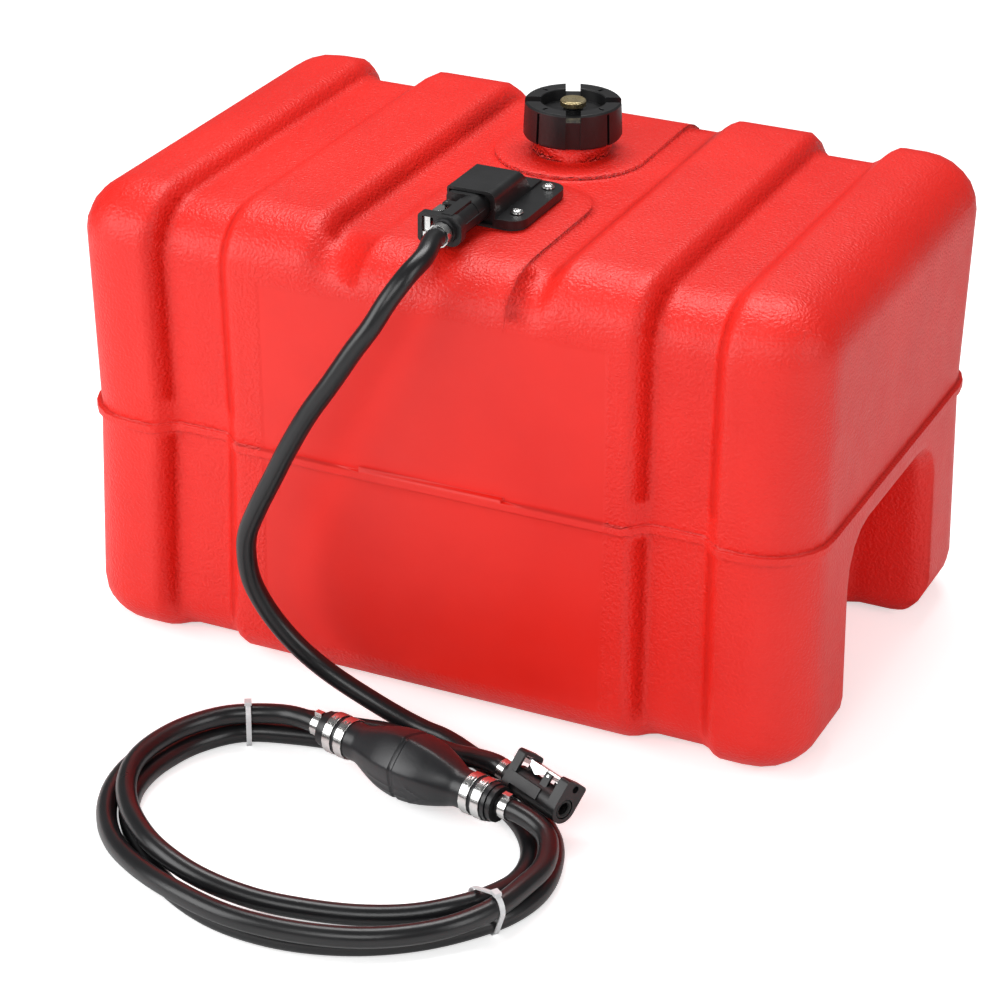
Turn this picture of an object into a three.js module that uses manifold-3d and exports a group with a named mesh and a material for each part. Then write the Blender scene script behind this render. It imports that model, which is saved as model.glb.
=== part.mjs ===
// Portable outboard fuel tank with its fuel line: a blow-moulded tank, a vented screw cap,
// a fuel outlet with a quick connector, a hose with a primer bulb, and a second connector
// that goes on the engine. Millimetres, +Z up, +X along the tank, the fuel outlet towards -Y.
// The origin is the middle of the tank's underside.
import * as THREE from 'three';
import { mergeVertices } from 'three/addons/utils/BufferGeometryUtils.js';
import Module from 'manifold-3d';

const wasm = await Module();
wasm.setup();

// Shared clearances
const gap = 0.3;            // between pieces that touch or nearly touch
const overrun = 6;          // how far a cutting shape runs past the face that it cuts
const weld = 1e-4;          // vertices closer than this are one vertex

// Tank body
const bodyLength = 553;
const bodyWidth = 357;
const bodyHeight = 348;
const seamHeight = 174;
const wall = 3.5;
const cornerRadius = 44;    // upright corners, seen from above
const topRadius = 38;
const bottomRadius = 36;
const wallFlare = 3.2;      // how far the walls lean out between the seam and the roundings
const seamProud = 3.6;      // moulding flange all round at the seam
const seamThick = 5.5;
const seamLead = 0.8;

// Grooves that run over the tank between the end lobes and the middle
const grooveStart = 146;    // from the middle, along X
const grooveEnd = 216;
const grooveSlope = 17;
const grooveFaceDepth = 13;
const grooveTopDepth = 11;

// Valley along the top between the two middle lobes, with two raised areas in it
const valleyHalf = 76;
const valleySlope = 18;
const valleyDepth = 12;
const reliefRise = 2.8;
const capAreaHalf = 56;
const padHalf = 55;
const padMiddleX = 4;
const padBackY = -6;
const padCornerRadius = 40;

// Hand holds moulded under both ends
const holdDepth = 62;
const holdHalf = 86;
const holdTop = 150;
const holdCornerRadius = 38;
const holdFootRadius = 22;
const holdLipRadius = 12;

// Filler neck
const neckY = 62;
const neckBore = 23.5;
const neckRadius = 27.5;
const neckRise = 21.2;        // over the raised area round it
const collarRadius = 29;
const collarTopRadius = 28.4;
const collarRise = 10.2;

// Filler cap
const capRadius = 36;
const capCrownRadius = 35;
const capReach = 9.4;         // how far its skirt reaches down past the neck's top
const capHeight = 25.8;
const capSkirtWall = 6;
const capDiscThick = 3.6;
const capRecessRadius = 23.6;
const capRoot = 3;            // rise of the slots' floor over the disc
const lugSlotWidth = 10.6;
const lugSlotDepth = 1.7;
const lugGrooveWidth = 2.2;
const lugGrooveDepth = 2.2;
const capSlots = 4;
const capTurned = Math.PI / 180 * 24;   // one slot points to the front right
const gasketThick = 2;
const gasketWidth = 5;
const linerThick = 1.2;

// Vent screw in the cap
const ventHeadRadius = 9.4;
const ventHeadThick = 4.6;
const ventStemRadius = 3;
const ventSealRadius = 5.8;
const ventSealThick = 1.4;    // between the knob and its boss
const ventStemBelow = 2;      // how far the stem reaches under the disc
const ventBossRadius = 7;

// Fuel outlet on the pad
const outletY = -64;
const outletAxisRise = 13.4;  // fuel passage over the pad
const flangeLeft = 21;
const flangeRight = 34.5;
const flangeFront = 102;
const flangeBack = 22;
const flangeThick = 6;
const flangeCorner = 12;
const flangeGasketThick = 1.2;
const gasketInset = 1;
const hoodRight = 15;
const hoodHeight = 18.4;      // over the flange plate
const hoodBack = 57;
const hoodSlant = 14;
const hoodCorner = 6;
const hoodWall = 1.7;
const portRadius = 15;
const spigotRadius = 6;
const spigotDrop = 12;
const passageRadius = 2.2;
const screwHeadRadius = 4.7;
const screwHeadThick = 2.6;
const screwShankRadius = 1.9;
const screwLength = 14;
const screwRecessWidth = 1.3;
const screwRecessLength = 5.4;
const screwRecessDepth = 1.2;
const screwInset = 10.5;
const screwFrontInset = 16;
const screwBackInset = 12;
const screwLeftInset = 8;
const pickupRadius = 5;
const pickupBore = 3.4;
const strainerRadius = 8;
const strainerHeight = 16;
const strainerFloorGap = 8;

// Quick connectors, the same at both ends of the hose
const coupLength = 50;        // from the hose end of the yoke to the front face
const yokeThick = 7;
const yokeFar = 20;
const yokeNear = 12.5;
const yokeHalf = 10.4;
const yokeRound = 3;
const yokeNearRound = 8;
const barrelRadius = 9.9;
const plateThick = 8;
const plateFar = 19;
const plateHalf = 10.3;
const plateRound = 3;
const hubRadius = 9;
const hubLength = 3.5;
const windowFrom = 8.6;
const windowTo = 17.2;
const windowHalf = 8.1;
const socketRadius = 4.6;
const socketDepth = 20;
const sealSeatRadius = 7.2;
const sealSeatDepth = 3;
const sealRadius = 1.25;
const throatRadius = 2.6;
const throatLength = 4;
const chamberRadius = 4.2;
const chamberLength = 16;
const keyRibHalf = 4;
const keyRibRise = 1.2;
const keyRibEnd = 33;
const sideRibHalf = 2.6;
const guideAt = 15;
const guideRadius = 2.4;
const guideDepth = 7;
const nippleRadius = 4.2;
const nippleLength = 12;
const nippleSeat = 14;
const nippleSeatRadius = 4.8;
const latchThick = 1.2;
const latchOuter = 16.6;
const latchFrom = 2.6;
const latchTo = 40;
const latchHalf = 5.6;
const thumbDepth = 4.6;
const thumbHalf = 7.2;
const latchPivotAlong = 30.5;
const latchPivotOut = 13.2;
const latchPinRadius = 1;
const latchEarThick = 2;
const latchEarHalfLength = 3;
const latchLugThick = 1;
const hookReach = 3.4;
const latchTabFrom = 12;
const latchTabTo = 27;
const latchTabTip = 9.3;
const latchTabShoulder = 13;
const latchTabOut = 5.7;
const springThick = 0.5;
const springHalf = 2.4;
const springFrom = 14;
const springMiddle = 20;
const springTo = 25;
const springDip = 12.9;
const checkHeadRadius = 3.6;
const checkHeadThick = 3;
const checkStemRadius = 1.5;
const checkStemReach = 8.5;   // how far the pin's tip stands back from the front face
const checkOpened = 3.1;      // how far the nipple holds the coupled connector's pin in
const checkSpringLength = 7;
const checkSpringWall = 0.9;

// Hose, clamps and primer bulb
const hoseRadius = 7;
const hoseLift = 0.4;         // centre line of a hose on the floor, over its radius
const clampThick = 0.9;
const clampWidth = 6;
const clampEarWidth = 4;
const clampEarRise = 2.6;
const bulbRadius = 24.7;
const bulbHalf = 43;          // half length of the swollen part
const bulbNeckRadius = 13.4;
const bulbNeckEnd = 72;
const bulbWall = 3.4;
const bandThick = 1;
const bandWidth = 7;
const bulbNeckFrom = 48;
const bulbSeam = 1.2;
const bandFirst = 51.5;
const bandSecond = 61.5;
const fitCollarThick = 4;
const fitCollarRadius = 12.6;
const fitStub = 78;
const fitBore = 4;
const fitLip = 2;
const fitLipBore = 5;
const valveChamberRadius = 7;
const valveChamberLength = 6;
const valveRadius = 6.4;
const valveThick = 2;

// Coil on the floor in front of the tank: an oval, with lanes beside and above each other
const coilMiddleX = 13;
const coilMiddleY = -357;
const coilHalfX = 142;
const coilHalfY = 93;
const lanePitch = 15.2;
const layerPitch = 14.8;
const routeLength = 100;        // the hoses' free runs are lists of points in shares of this

// Ties round the coil
const tieThick = 1;
const tieWidth = 3.6;
const tieHeadLength = 6;
const tieHeadRise = 2.6;
const tieHeadWidth = 5;
const tieSlack = 1.15;

// Counts of steps and sides
const roundSides = 24;
const ringSides = 16;
const smallSides = 12;
const hoseSides = 8;
const coilSides = 6;
const coilStepsPerTurn = 24;
const cornerAngles = [15, 30, 45].map((a) => a * Math.PI / 180);
const innerCornerAngles = [22, 45].map((a) => a * Math.PI / 180);

// Colours
const tankRed = 0xd4180f;
const black = 0x17181a;
const rubberBlack = 0x141414;
const steelGrey = 0xc9c9c6;
const brassYellow = 0xd9bc6a;
const tieWhite = 0xe4e6ea;
const sealBlack = 0x0e0e0f;
const filterWhite = 0xdcdcd2;

const plastic = (color) => new THREE.MeshStandardMaterial({ color, roughness: 0.5, metalness: 0 });
const metal = (color) => new THREE.MeshStandardMaterial({ color, roughness: 0.25, metalness: 1 });
const rubber = (color) => new THREE.MeshStandardMaterial({ color, roughness: 0.7, metalness: 0 });

// Turning three.js geometry into solids and back

function solid(geometry) {
  const bare = new THREE.BufferGeometry();
  bare.setAttribute('position', geometry.getAttribute('position').clone());
  if (geometry.index) bare.setIndex(geometry.index.clone());
  const merged = mergeVertices(bare, weld);
  const triangles = [];
  const index = merged.index.array;
  for (let i = 0; i < index.length; i += 3) {
    const [a, b, c] = [index[i], index[i + 1], index[i + 2]];
    if (a !== b && b !== c && c !== a) triangles.push(a, b, c);
  }
  return new wasm.Manifold(new wasm.Mesh({
    numProp: 3,
    vertProperties: new Float32Array(merged.getAttribute('position').array),
    triVerts: new Uint32Array(triangles),
  }));
}

function geometryOf(manifold) {
  const mesh = manifold.getMesh();
  const positions = new Float32Array(mesh.numVert * 3);
  for (let i = 0; i < mesh.numVert; i += 1) {
    for (let k = 0; k < 3; k += 1) positions[i * 3 + k] = mesh.vertProperties[i * mesh.numProp + k];
  }
  const geometry = new THREE.BufferGeometry();
  geometry.setAttribute('position', new THREE.BufferAttribute(positions, 3));
  geometry.setIndex(new THREE.BufferAttribute(new Uint32Array(mesh.triVerts), 1));
  geometry.computeVertexNormals();
  return geometry;
}

const join = (first, ...others) => others.reduce((sum, part) => sum.add(part), first);
const cut = (first, ...others) => others.reduce((rest, part) => rest.subtract(part), first);

// Basic shapes, each as a solid

function block(x0, x1, y0, y1, z0, z1) {
  const geometry = new THREE.BoxGeometry(x1 - x0, y1 - y0, z1 - z0);
  geometry.translate((x0 + x1) / 2, (y0 + y1) / 2, (z0 + z1) / 2);
  return solid(geometry);
}

function rod(radius, z0, z1, x = 0, y = 0, sides = smallSides) {
  const geometry = new THREE.CylinderGeometry(radius, radius, z1 - z0, sides);
  geometry.rotateX(Math.PI / 2);
  geometry.translate(x, y, (z0 + z1) / 2);
  return solid(geometry);
}

// A rod whose axis runs along Y at the given x and z
function rodAlongY(radius, y0, y1, x, z, sides = smallSides) {
  const geometry = new THREE.CylinderGeometry(radius, radius, y1 - y0, sides);
  geometry.translate(x, (y0 + y1) / 2, z);
  return solid(geometry);
}

// A turned solid about Z: the profile is a list of [radius, z], going up the outside
function turned(profile, sides = roundSides) {
  const points = profile.map(([r, z]) => new THREE.Vector2(r, z));
  if (points[0].x > 0) points.push(points[0].clone());
  const geometry = new THREE.LatheGeometry(points, sides);
  geometry.rotateX(Math.PI / 2);
  return solid(geometry);
}

// An outline in XY drawn up from z0 to z1
function prism(shape, z0, z1, curveSegments = smallSides / 3) {
  const geometry = new THREE.ExtrudeGeometry(shape, {
    depth: z1 - z0, bevelEnabled: false, curveSegments,
  });
  geometry.translate(0, 0, z0);
  return solid(geometry);
}

// A rectangle whose corners have their own radii: front left, front right, back right, back left
function roundedRectangle(x0, x1, y0, y1, [frontLeft, frontRight, backRight, backLeft]) {
  const shape = new THREE.Shape();
  const quarter = Math.PI / 2;
  [
    [x0 + frontLeft, y0 + frontLeft, frontLeft, 2],
    [x1 - frontRight, y0 + frontRight, frontRight, 3],
    [x1 - backRight, y1 - backRight, backRight, 0],
    [x0 + backLeft, y1 - backLeft, backLeft, 1],
  ].forEach(([x, y, radius, turn], n) => {
    const startX = x + radius * Math.cos(turn * quarter);
    const startY = y + radius * Math.sin(turn * quarter);
    if (n === 0) shape.moveTo(startX, startY);
    else shape.lineTo(startX, startY);
    if (radius > 0) shape.absarc(x, y, radius, turn * quarter, (turn + 1) * quarter, false);
  });
  return shape;
}

// A closed solid through a row of rings, each the same count of points
function lofted(rings) {
  const positions = [];
  const index = [];
  const count = rings[0].length;
  rings.forEach((ring) => ring.forEach((p) => positions.push(...p)));
  for (let k = 0; k + 1 < rings.length; k += 1) {
    for (let i = 0; i < count; i += 1) {
      const a = k * count + i;
      const b = k * count + (i + 1) % count;
      index.push(a, b, b + count, a, b + count, a + count);
    }
  }
  [0, rings.length - 1].forEach((k) => {
    const middle = [0, 1, 2].map((axis) => rings[k].reduce((sum, p) => sum + p[axis], 0) / count);
    const centre = positions.length / 3;
    positions.push(...middle);
    for (let i = 0; i < count; i += 1) {
      const a = k * count + i;
      const b = k * count + (i + 1) % count;
      if (k === 0) index.push(centre, b, a);
      else index.push(centre, a, b);
    }
  });
  const geometry = new THREE.BufferGeometry();
  geometry.setAttribute('position', new THREE.Float32BufferAttribute(positions, 3));
  geometry.setIndex(index);
  return solid(geometry);
}

const nodes = new THREE.Group();

function addNode(parent, name, shape, material) {
  const geometry = shape.isBufferGeometry ? shape : geometryOf(shape);
  const mesh = new THREE.Mesh(geometry, material);
  mesh.name = name;
  parent.add(mesh);
  return mesh;
}

// Tank body: a box with rounded edges, whose grooves, valley and flange are pushed into it

const smooth = (t) => {
  const u = Math.min(Math.max(t, 0), 1);
  return u * u * (3 - 2 * u);
};
const groove = (x) => smooth((Math.abs(x) - grooveStart) / grooveSlope)
  * smooth((grooveEnd - Math.abs(x)) / grooveSlope);
const valley = (x) => 1 - smooth((Math.abs(x) - valleyHalf) / valleySlope);

const slopeShares = [0, 1 / 3, 2 / 3, 1];
const innerSlopeShares = [0, 1 / 2, 1];

function mirrored(list) {
  const up = [...new Set(list)].sort((a, b) => a - b);
  return [...up.filter((v) => v > 0).map((v) => -v).reverse(), ...up];
}

// inset is how far the surface lies inside the outer one, and 0 gives the outer body itself
function mouldedBody(inset) {
  const halfX = bodyLength / 2 - inset;
  const halfY = bodyWidth / 2 - inset;
  const low = inset;
  const high = bodyHeight - inset;
  const side = cornerRadius - inset;
  const topEdge = topRadius - inset;
  const bottomEdge = bottomRadius - inset;
  const proud = inset > 0 ? 0 : seamProud;
  const angles = inset > 0 ? innerCornerAngles : cornerAngles;
  const shares = inset > 0 ? innerSlopeShares : slopeShares;
  const corner = (half) => [half - side, ...angles.map((a) => half - side + side * Math.tan(a))];
  const slope = (from) => shares.map((s) => from + s * grooveSlope);
  const xs = mirrored([
    0, ...shares.map((s) => valleyHalf + s * valleySlope),
    ...slope(grooveStart), ...slope(grooveEnd - grooveSlope), ...corner(halfX),
  ]);
  const ys = mirrored([0, ...corner(halfY)]);
  const seamEdge = seamThick / 2;
  const seamRows = inset > 0 ? [seamHeight] : [
    seamHeight - seamEdge - seamLead, seamHeight - seamEdge,
    seamHeight + seamEdge, seamHeight + seamEdge + seamLead,
  ];
  const zs = [
    ...angles.map((a) => low + bottomEdge - bottomEdge * Math.tan(a)).reverse(),
    low + bottomEdge, ...seamRows, high - topEdge,
    ...angles.map((a) => high - topEdge + topEdge * Math.tan(a)),
  ];
  const place = (x, y, z) => {
    const over = (v, half) => Math.sign(v) * Math.max(Math.abs(v) - (half - side), 0) / side;
    const dx = over(x, halfX);
    const dy = over(y, halfY);
    const edge = z > seamHeight ? topEdge : bottomEdge;
    const dz = z > seamHeight
      ? Math.max(z - (high - edge), 0) / edge : Math.min(z - (low + edge), 0) / edge;
    const size = Math.max(Math.hypot(dx, dy, dz), 1);
    const isSide = Math.abs(z - seamHeight) <= seamEdge ? proud : 0;
    const rise = z > seamHeight ? (z - seamHeight) / (high - edge - seamHeight)
      : (seamHeight - z) / (seamHeight - low - edge);
    const lean = 1 + wallFlare * Math.min(rise, 1) / halfX;
    const leanY = 1 + wallFlare * Math.min(rise, 1) / halfY;
    let px = (x - dx * side + dx * side / size) * lean + dx / size * isSide;
    let py = (y - dy * side + dy * side / size) * leanY + dy / size * isSide;
    let pz = z - dz * edge + dz * edge / size;
    py *= 1 - grooveFaceDepth * groove(x) / halfY;
    if (pz > seamHeight) {
      const drop = (grooveTopDepth * groove(x) + valleyDepth * valley(x)) / (high - seamHeight);
      pz = seamHeight + (pz - seamHeight) * (1 - drop);
    }
    return [px, py, pz];
  };
  return gridBody(xs, ys, zs, place);
}

// The skin of a block of stations along X, Y and Z, with every point moved by place
function gridBody(xs, ys, zs, place) {
  const positions = [];
  const index = [];
  const known = new Map();
  const vertex = (i, j, k) => {
    const key = `${i},${j},${k}`;
    if (!known.has(key)) {
      known.set(key, positions.length / 3);
      positions.push(...place(xs[i], ys[j], zs[k]));
    }
    return known.get(key);
  };
  const quad = (a, b, c, d) => index.push(a, b, c, a, c, d);
  const [nx, ny, nz] = [xs.length - 1, ys.length - 1, zs.length - 1];
  for (let i = 0; i < nx; i += 1) {
    for (let j = 0; j < ny; j += 1) {
      quad(vertex(i, j, nz), vertex(i + 1, j, nz), vertex(i + 1, j + 1, nz), vertex(i, j + 1, nz));
      quad(vertex(i, j, 0), vertex(i, j + 1, 0), vertex(i + 1, j + 1, 0), vertex(i + 1, j, 0));
    }
    for (let k = 0; k < nz; k += 1) {
      quad(vertex(i, 0, k), vertex(i + 1, 0, k), vertex(i + 1, 0, k + 1), vertex(i, 0, k + 1));
      quad(vertex(i, ny, k), vertex(i, ny, k + 1), vertex(i + 1, ny, k + 1), vertex(i + 1, ny, k));
    }
  }
  for (let j = 0; j < ny; j += 1) {
    for (let k = 0; k < nz; k += 1) {
      quad(vertex(nx, j, k), vertex(nx, j + 1, k), vertex(nx, j + 1, k + 1), vertex(nx, j, k + 1));
      quad(vertex(0, j, k), vertex(0, j, k + 1), vertex(0, j + 1, k + 1), vertex(0, j + 1, k));
    }
  }
  const geometry = new THREE.BufferGeometry();
  geometry.setAttribute('position', new THREE.Float32BufferAttribute(positions, 3));
  geometry.setIndex(index);
  return solid(geometry);
}

// The space of one hand hold, on the side of the sign, grown by the given amount
function handHold(sign, grow) {
  const outline = (spread) => {
    const half = holdHalf + grow + spread;
    const top = holdTop + grow + spread;
    const round = holdCornerRadius + grow;
    const foot = (z) => {
      const rise = Math.max(holdFootRadius - z, 0);
      return holdFootRadius - Math.sqrt(Math.max(holdFootRadius ** 2 - rise ** 2, 0));
    };
    const right = [];
    right.push([half + foot(0), -overrun]);
    [0, 0.12, 0.35, 0.65].forEach((footShare) => {
      const z = footShare * holdFootRadius;
      right.push([half + foot(z), z]);
    });
    right.push([half, holdFootRadius]);
    [0, 0.25, 0.5, 0.75, 1].forEach((turnShare) => {
      const a = turnShare * Math.PI / 2;
      right.push([half - round + round * Math.cos(a), top - round + round * Math.sin(a)]);
    });
    return [...right, ...right.map(([y, z]) => [-y, z]).reverse()];
  };
  const endX = bodyLength / 2;
  const inner = endX - holdDepth - grow;
  const stations = [
    [inner, -holdLipRadius], [inner + holdLipRadius * 0.3, -holdLipRadius * 0.29],
    [inner + holdLipRadius, 0], [endX - holdLipRadius, 0],
    [endX - holdLipRadius * 0.3, holdLipRadius * 0.29], [endX, holdLipRadius * 0.6],
    [endX + wallFlare + overrun, holdLipRadius],
  ];
  const rings = stations.map(([x, spread]) => outline(spread).map(([y, z]) => [x * sign, y * sign, z]));
  return lofted(rings);
}

// The pad's level, and the places on it that other pieces take
const valleyTop = bodyHeight - valleyDepth;
const padTop = valleyTop + reliefRise;
const neckTop = padTop + neckRise;
const collarTop = padTop + collarRise;
const capBottom = neckTop - capReach;
const capTop = capBottom + capHeight;
const endSigns = [-1, 1];

function raisedArea(shape, outer) {
  const area = prism(shape, seamHeight, bodyHeight + overrun);
  return outer.translate([0, 0, reliefRise]).intersect(area);
}

function screwPlaces() {
  const right = flangeRight - screwInset;
  return [
    [right, -flangeFront + screwFrontInset], [right, -flangeBack - screwBackInset],
    [-flangeLeft + screwLeftInset, -flangeBack - screwBackInset],
  ];
}

function tankShell() {
  const outer = mouldedBody(0);
  const backY = bodyWidth / 2 + overrun;
  const capArea = roundedRectangle(-capAreaHalf, capAreaHalf, neckY - capAreaHalf, backY,
    [capAreaHalf, capAreaHalf, overrun, overrun]);
  const padArea = roundedRectangle(padMiddleX - padHalf, padMiddleX + padHalf, -backY, padBackY,
    [overrun, overrun, padCornerRadius, padCornerRadius]);
  const collar = turned([
    [0, padTop - wall], [collarRadius, padTop - wall], [collarRadius, padTop],
    [collarTopRadius, collarTop], [neckRadius, collarTop], [neckRadius, neckTop], [0, neckTop],
  ]).translate([0, neckY, 0]);
  let shell = join(outer, raisedArea(capArea, outer), raisedArea(padArea, outer), collar);
  let inside = mouldedBody(wall);
  endSigns.forEach((sign) => {
    shell = shell.subtract(handHold(sign, 0));
    inside = inside.subtract(handHold(sign, wall));
  });
  shell = shell.subtract(inside);
  shell = shell.subtract(rod(neckBore, valleyTop - wall * 2, neckTop + overrun, 0, neckY, roundSides));
  shell = shell.subtract(rod(portRadius, valleyTop - wall * 2, padTop + overrun, 0, outletY));
  screwPlaces().forEach(([x, y]) => {
    shell = shell.subtract(rod(screwShankRadius + gap, padTop - screwLength, padTop + overrun, x, y));
  });
  return shell;
}

addNode(nodes, 'tank_shell', tankShell(), plastic(tankRed));

// Filler cap: a skirt with a disc across it, and a slotted crown that a bar can turn

const capDiscTop = neckTop + gap + gasketThick + gap + linerThick + gap + capDiscThick;
const capDiscLow = capDiscTop - capDiscThick;
const ventHeadLow = capTop - ventHeadThick + gap;
const ventBossTop = ventHeadLow - ventSealThick - gap * 2;

function fillerCap() {
  const inner = capRadius - capSkirtWall;
  const chamfer = capSkirtWall / 5;
  let cap = turned([
    [inner, capBottom], [capRadius - chamfer, capBottom], [capRadius, capBottom + chamfer * 2],
    [capCrownRadius, capTop - chamfer], [capCrownRadius - chamfer, capTop],
    [capRecessRadius + chamfer / 2, capTop], [capRecessRadius, capTop - chamfer / 2],
    [capRecessRadius, capDiscTop], [ventBossRadius, capDiscTop],
    [ventBossRadius, ventBossTop], [ventStemRadius + gap, ventBossTop],
    [ventStemRadius + gap, capDiscLow], [inner, capDiscLow],
  ], roundSides * 2);
  const cutters = [];
  for (let n = 0; n < capSlots; n += 1) {
    const angle = capTurned + n * 2 * Math.PI / capSlots;
    const half = lugSlotWidth / 2;
    const slot = block(-half, half, -capRadius - overrun, -capRecessRadius / 2,
      capDiscTop + capRoot, capTop + overrun);
    const face = block(-half, half, -capRadius - overrun, -capCrownRadius + lugSlotDepth,
      capBottom - overrun, capTop + overrun);
    const grooveHalf = lugGrooveWidth / 2;
    const line = block(-grooveHalf, grooveHalf, -capRadius - overrun,
      -capCrownRadius + lugGrooveDepth, capBottom - overrun, capTop - lugGrooveDepth);
    const top = block(-grooveHalf, grooveHalf, -capCrownRadius + lugGrooveDepth * 2,
      -capRecessRadius - lugGrooveDepth, capTop - lugGrooveDepth, capTop + overrun);
    const turnBy = (part, by) => part.rotate([0, 0, by * 180 / Math.PI]);
    cutters.push(turnBy(slot, angle), turnBy(face, angle));
    cutters.push(turnBy(line, angle + Math.PI / capSlots), turnBy(top, angle + Math.PI / capSlots));
  }
  cap = cut(cap, ...cutters);
  return cap.translate([0, neckY, 0]);
}

function washer(outerRadius, innerRadius, z0, z1, sides = ringSides) {
  return turned([[innerRadius, z0], [outerRadius, z0], [outerRadius, z1], [innerRadius, z1]], sides);
}

addNode(nodes, 'filler_cap', fillerCap(), plastic(black));
const gasketLow = neckTop + gap;
addNode(nodes, 'cap_gasket', washer(neckRadius, neckRadius - gasketWidth, gasketLow, gasketLow + gasketThick)
  .translate([0, neckY, 0]), rubber(sealBlack));
const linerLow = gasketLow + gasketThick + gap;
addNode(nodes, 'cap_liner', washer(capRadius - capSkirtWall - gap, ventSealRadius + gap * 2,
  linerLow, linerLow + linerThick).translate([0, neckY, 0]), plastic(filterWhite));

function ventScrew() {
  const grip = ventHeadRadius / 20;
  const low = capDiscLow - ventStemBelow;
  let screw = turned([
    [0, low], [ventStemRadius, low], [ventStemRadius, ventHeadLow],
    [ventHeadRadius - grip, ventHeadLow], [ventHeadRadius, ventHeadLow + grip],
    [ventHeadRadius, ventHeadLow + ventHeadThick - grip * 2],
    [ventHeadRadius - grip * 2, ventHeadLow + ventHeadThick], [0, ventHeadLow + ventHeadThick],
  ]);
  const notches = roundSides;
  for (let n = 0; n < notches; n += 2) {
    const notch = rod(grip, ventHeadLow - overrun, ventHeadLow + ventHeadThick + overrun,
      ventHeadRadius, 0, 4);
    screw = screw.subtract(notch.rotate([0, 0, n * 360 / notches]));
  }
  return screw.translate([0, neckY, 0]);
}

addNode(nodes, 'vent_screw', ventScrew(), metal(brassYellow));
addNode(nodes, 'vent_seal', washer(ventSealRadius, ventStemRadius + gap, ventBossTop + gap,
  ventHeadLow - gap).translate([0, neckY, 0]), rubber(sealBlack));

// Fuel outlet: gasket, flange plate with its hood, screws, nipple, guide pin and pickup tube

const flangeGasketLow = padTop + gap;
const flangeLow = flangeGasketLow + flangeGasketThick + gap;
const flangeTop = flangeLow + flangeThick;
const outletZ = padTop + outletAxisRise;
const hoodTop = flangeTop + hoodHeight;
const bulkheadY = -flangeFront + hoodWall * 2;

function flangeOutline(inset) {
  const corner = flangeCorner - inset;
  const tight = corner / 3;
  return roundedRectangle(-flangeLeft + inset, flangeRight - inset, -flangeFront + inset,
    -flangeBack - inset, [tight, corner, corner, tight]);
}

function outletFlange() {
  const plate = prism(flangeOutline(0), flangeLow, flangeTop);
  const ribLow = flangeTop - overrun / 2;
  const rib = block(-flangeLeft / 3, hoodRight, -hoodBack - overrun, -flangeBack - hoodCorner / 2,
    ribLow, flangeTop + hoodWall);
  const hood = prism(roundedRectangle(-flangeLeft, hoodRight, -hoodTop, -flangeLow,
    [hoodCorner / 3, hoodCorner, 0, 0]), 0, flangeFront - hoodBack + hoodSlant)
    .rotate([-90, 0, 0]).translate([0, -flangeFront, 0]);
  const wedge = new THREE.Shape();
  wedge.moveTo(-hoodBack, hoodTop + overrun);
  wedge.lineTo(-hoodBack, hoodTop);
  wedge.lineTo(-hoodBack + hoodSlant, flangeTop + hoodWall);
  wedge.lineTo(-hoodBack + hoodSlant + overrun, flangeTop + hoodWall);
  wedge.lineTo(-hoodBack + hoodSlant + overrun, hoodTop + overrun);
  const slant = prism(wedge, -flangeLeft - overrun, hoodRight + overrun)
    .rotate([90, 0, 90]);
  const mouth = block(-plateFar - gap, hoodRight - hoodWall, -flangeFront - overrun, bulkheadY,
    outletZ - plateHalf - gap, outletZ + plateHalf + gap);
  const spigot = rod(spigotRadius, padTop - spigotDrop, flangeLow + gap, 0, outletY);
  let flange = join(plate, rib, hood, spigot).subtract(slant).subtract(mouth);
  flange = flange.subtract(rodAlongY(nippleSeatRadius + gap, bulkheadY - overrun, bulkheadY + nippleSeat + gap,
    0, outletZ));
  flange = flange.subtract(rodAlongY(passageRadius, bulkheadY, outletY, 0, outletZ));
  flange = flange.subtract(rod(passageRadius, padTop - spigotDrop - overrun, outletZ, 0, outletY));
  flange = flange.subtract(rodAlongY(guideRadius + gap, bulkheadY - overrun, bulkheadY + guideDepth + gap,
    -guideAt, outletZ));
  screwPlaces().forEach(([x, y]) => {
    flange = flange.subtract(rod(screwShankRadius + gap, flangeLow - overrun, hoodTop, x, y));
  });
  return flange;
}

addNode(nodes, 'outlet_flange', outletFlange(), plastic(black));

function flangeGasket() {
  let gasket = prism(flangeOutline(gasketInset), flangeGasketLow, flangeGasketLow + flangeGasketThick);
  gasket = gasket.subtract(rod(portRadius - gasketInset, flangeGasketLow - overrun, flangeTop, 0, outletY));
  screwPlaces().forEach(([x, y]) => {
    gasket = gasket.subtract(rod(screwShankRadius + gap, flangeGasketLow - overrun, flangeTop, x, y));
  });
  return gasket;
}

addNode(nodes, 'flange_gasket', flangeGasket(), rubber(sealBlack));

function panScrew() {
  const low = gap;
  const edge = screwHeadThick / 3;
  const screw = turned([
    [0, low + screwHeadThick - screwLength], [screwShankRadius, low + screwHeadThick - screwLength],
    [screwShankRadius, low], [screwHeadRadius, low], [screwHeadRadius, low + edge],
    [screwHeadRadius - edge, low + edge * 2], [screwHeadRadius / 2, low + screwHeadThick],
    [0, low + screwHeadThick],
  ], smallSides);
  const half = screwRecessWidth / 2;
  const reach = screwRecessLength / 2;
  const floor = low + screwHeadThick - screwRecessDepth;
  const cross = join(block(-half, half, -reach, reach, floor, overrun),
    block(-reach, reach, -half, half, floor, overrun));
  return screw.subtract(cross);
}

screwPlaces().forEach(([x, y], n) => {
  addNode(nodes, `flange_screw_${n + 1}`, panScrew().translate([x, y, flangeTop]), metal(steelGrey));
});

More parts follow.
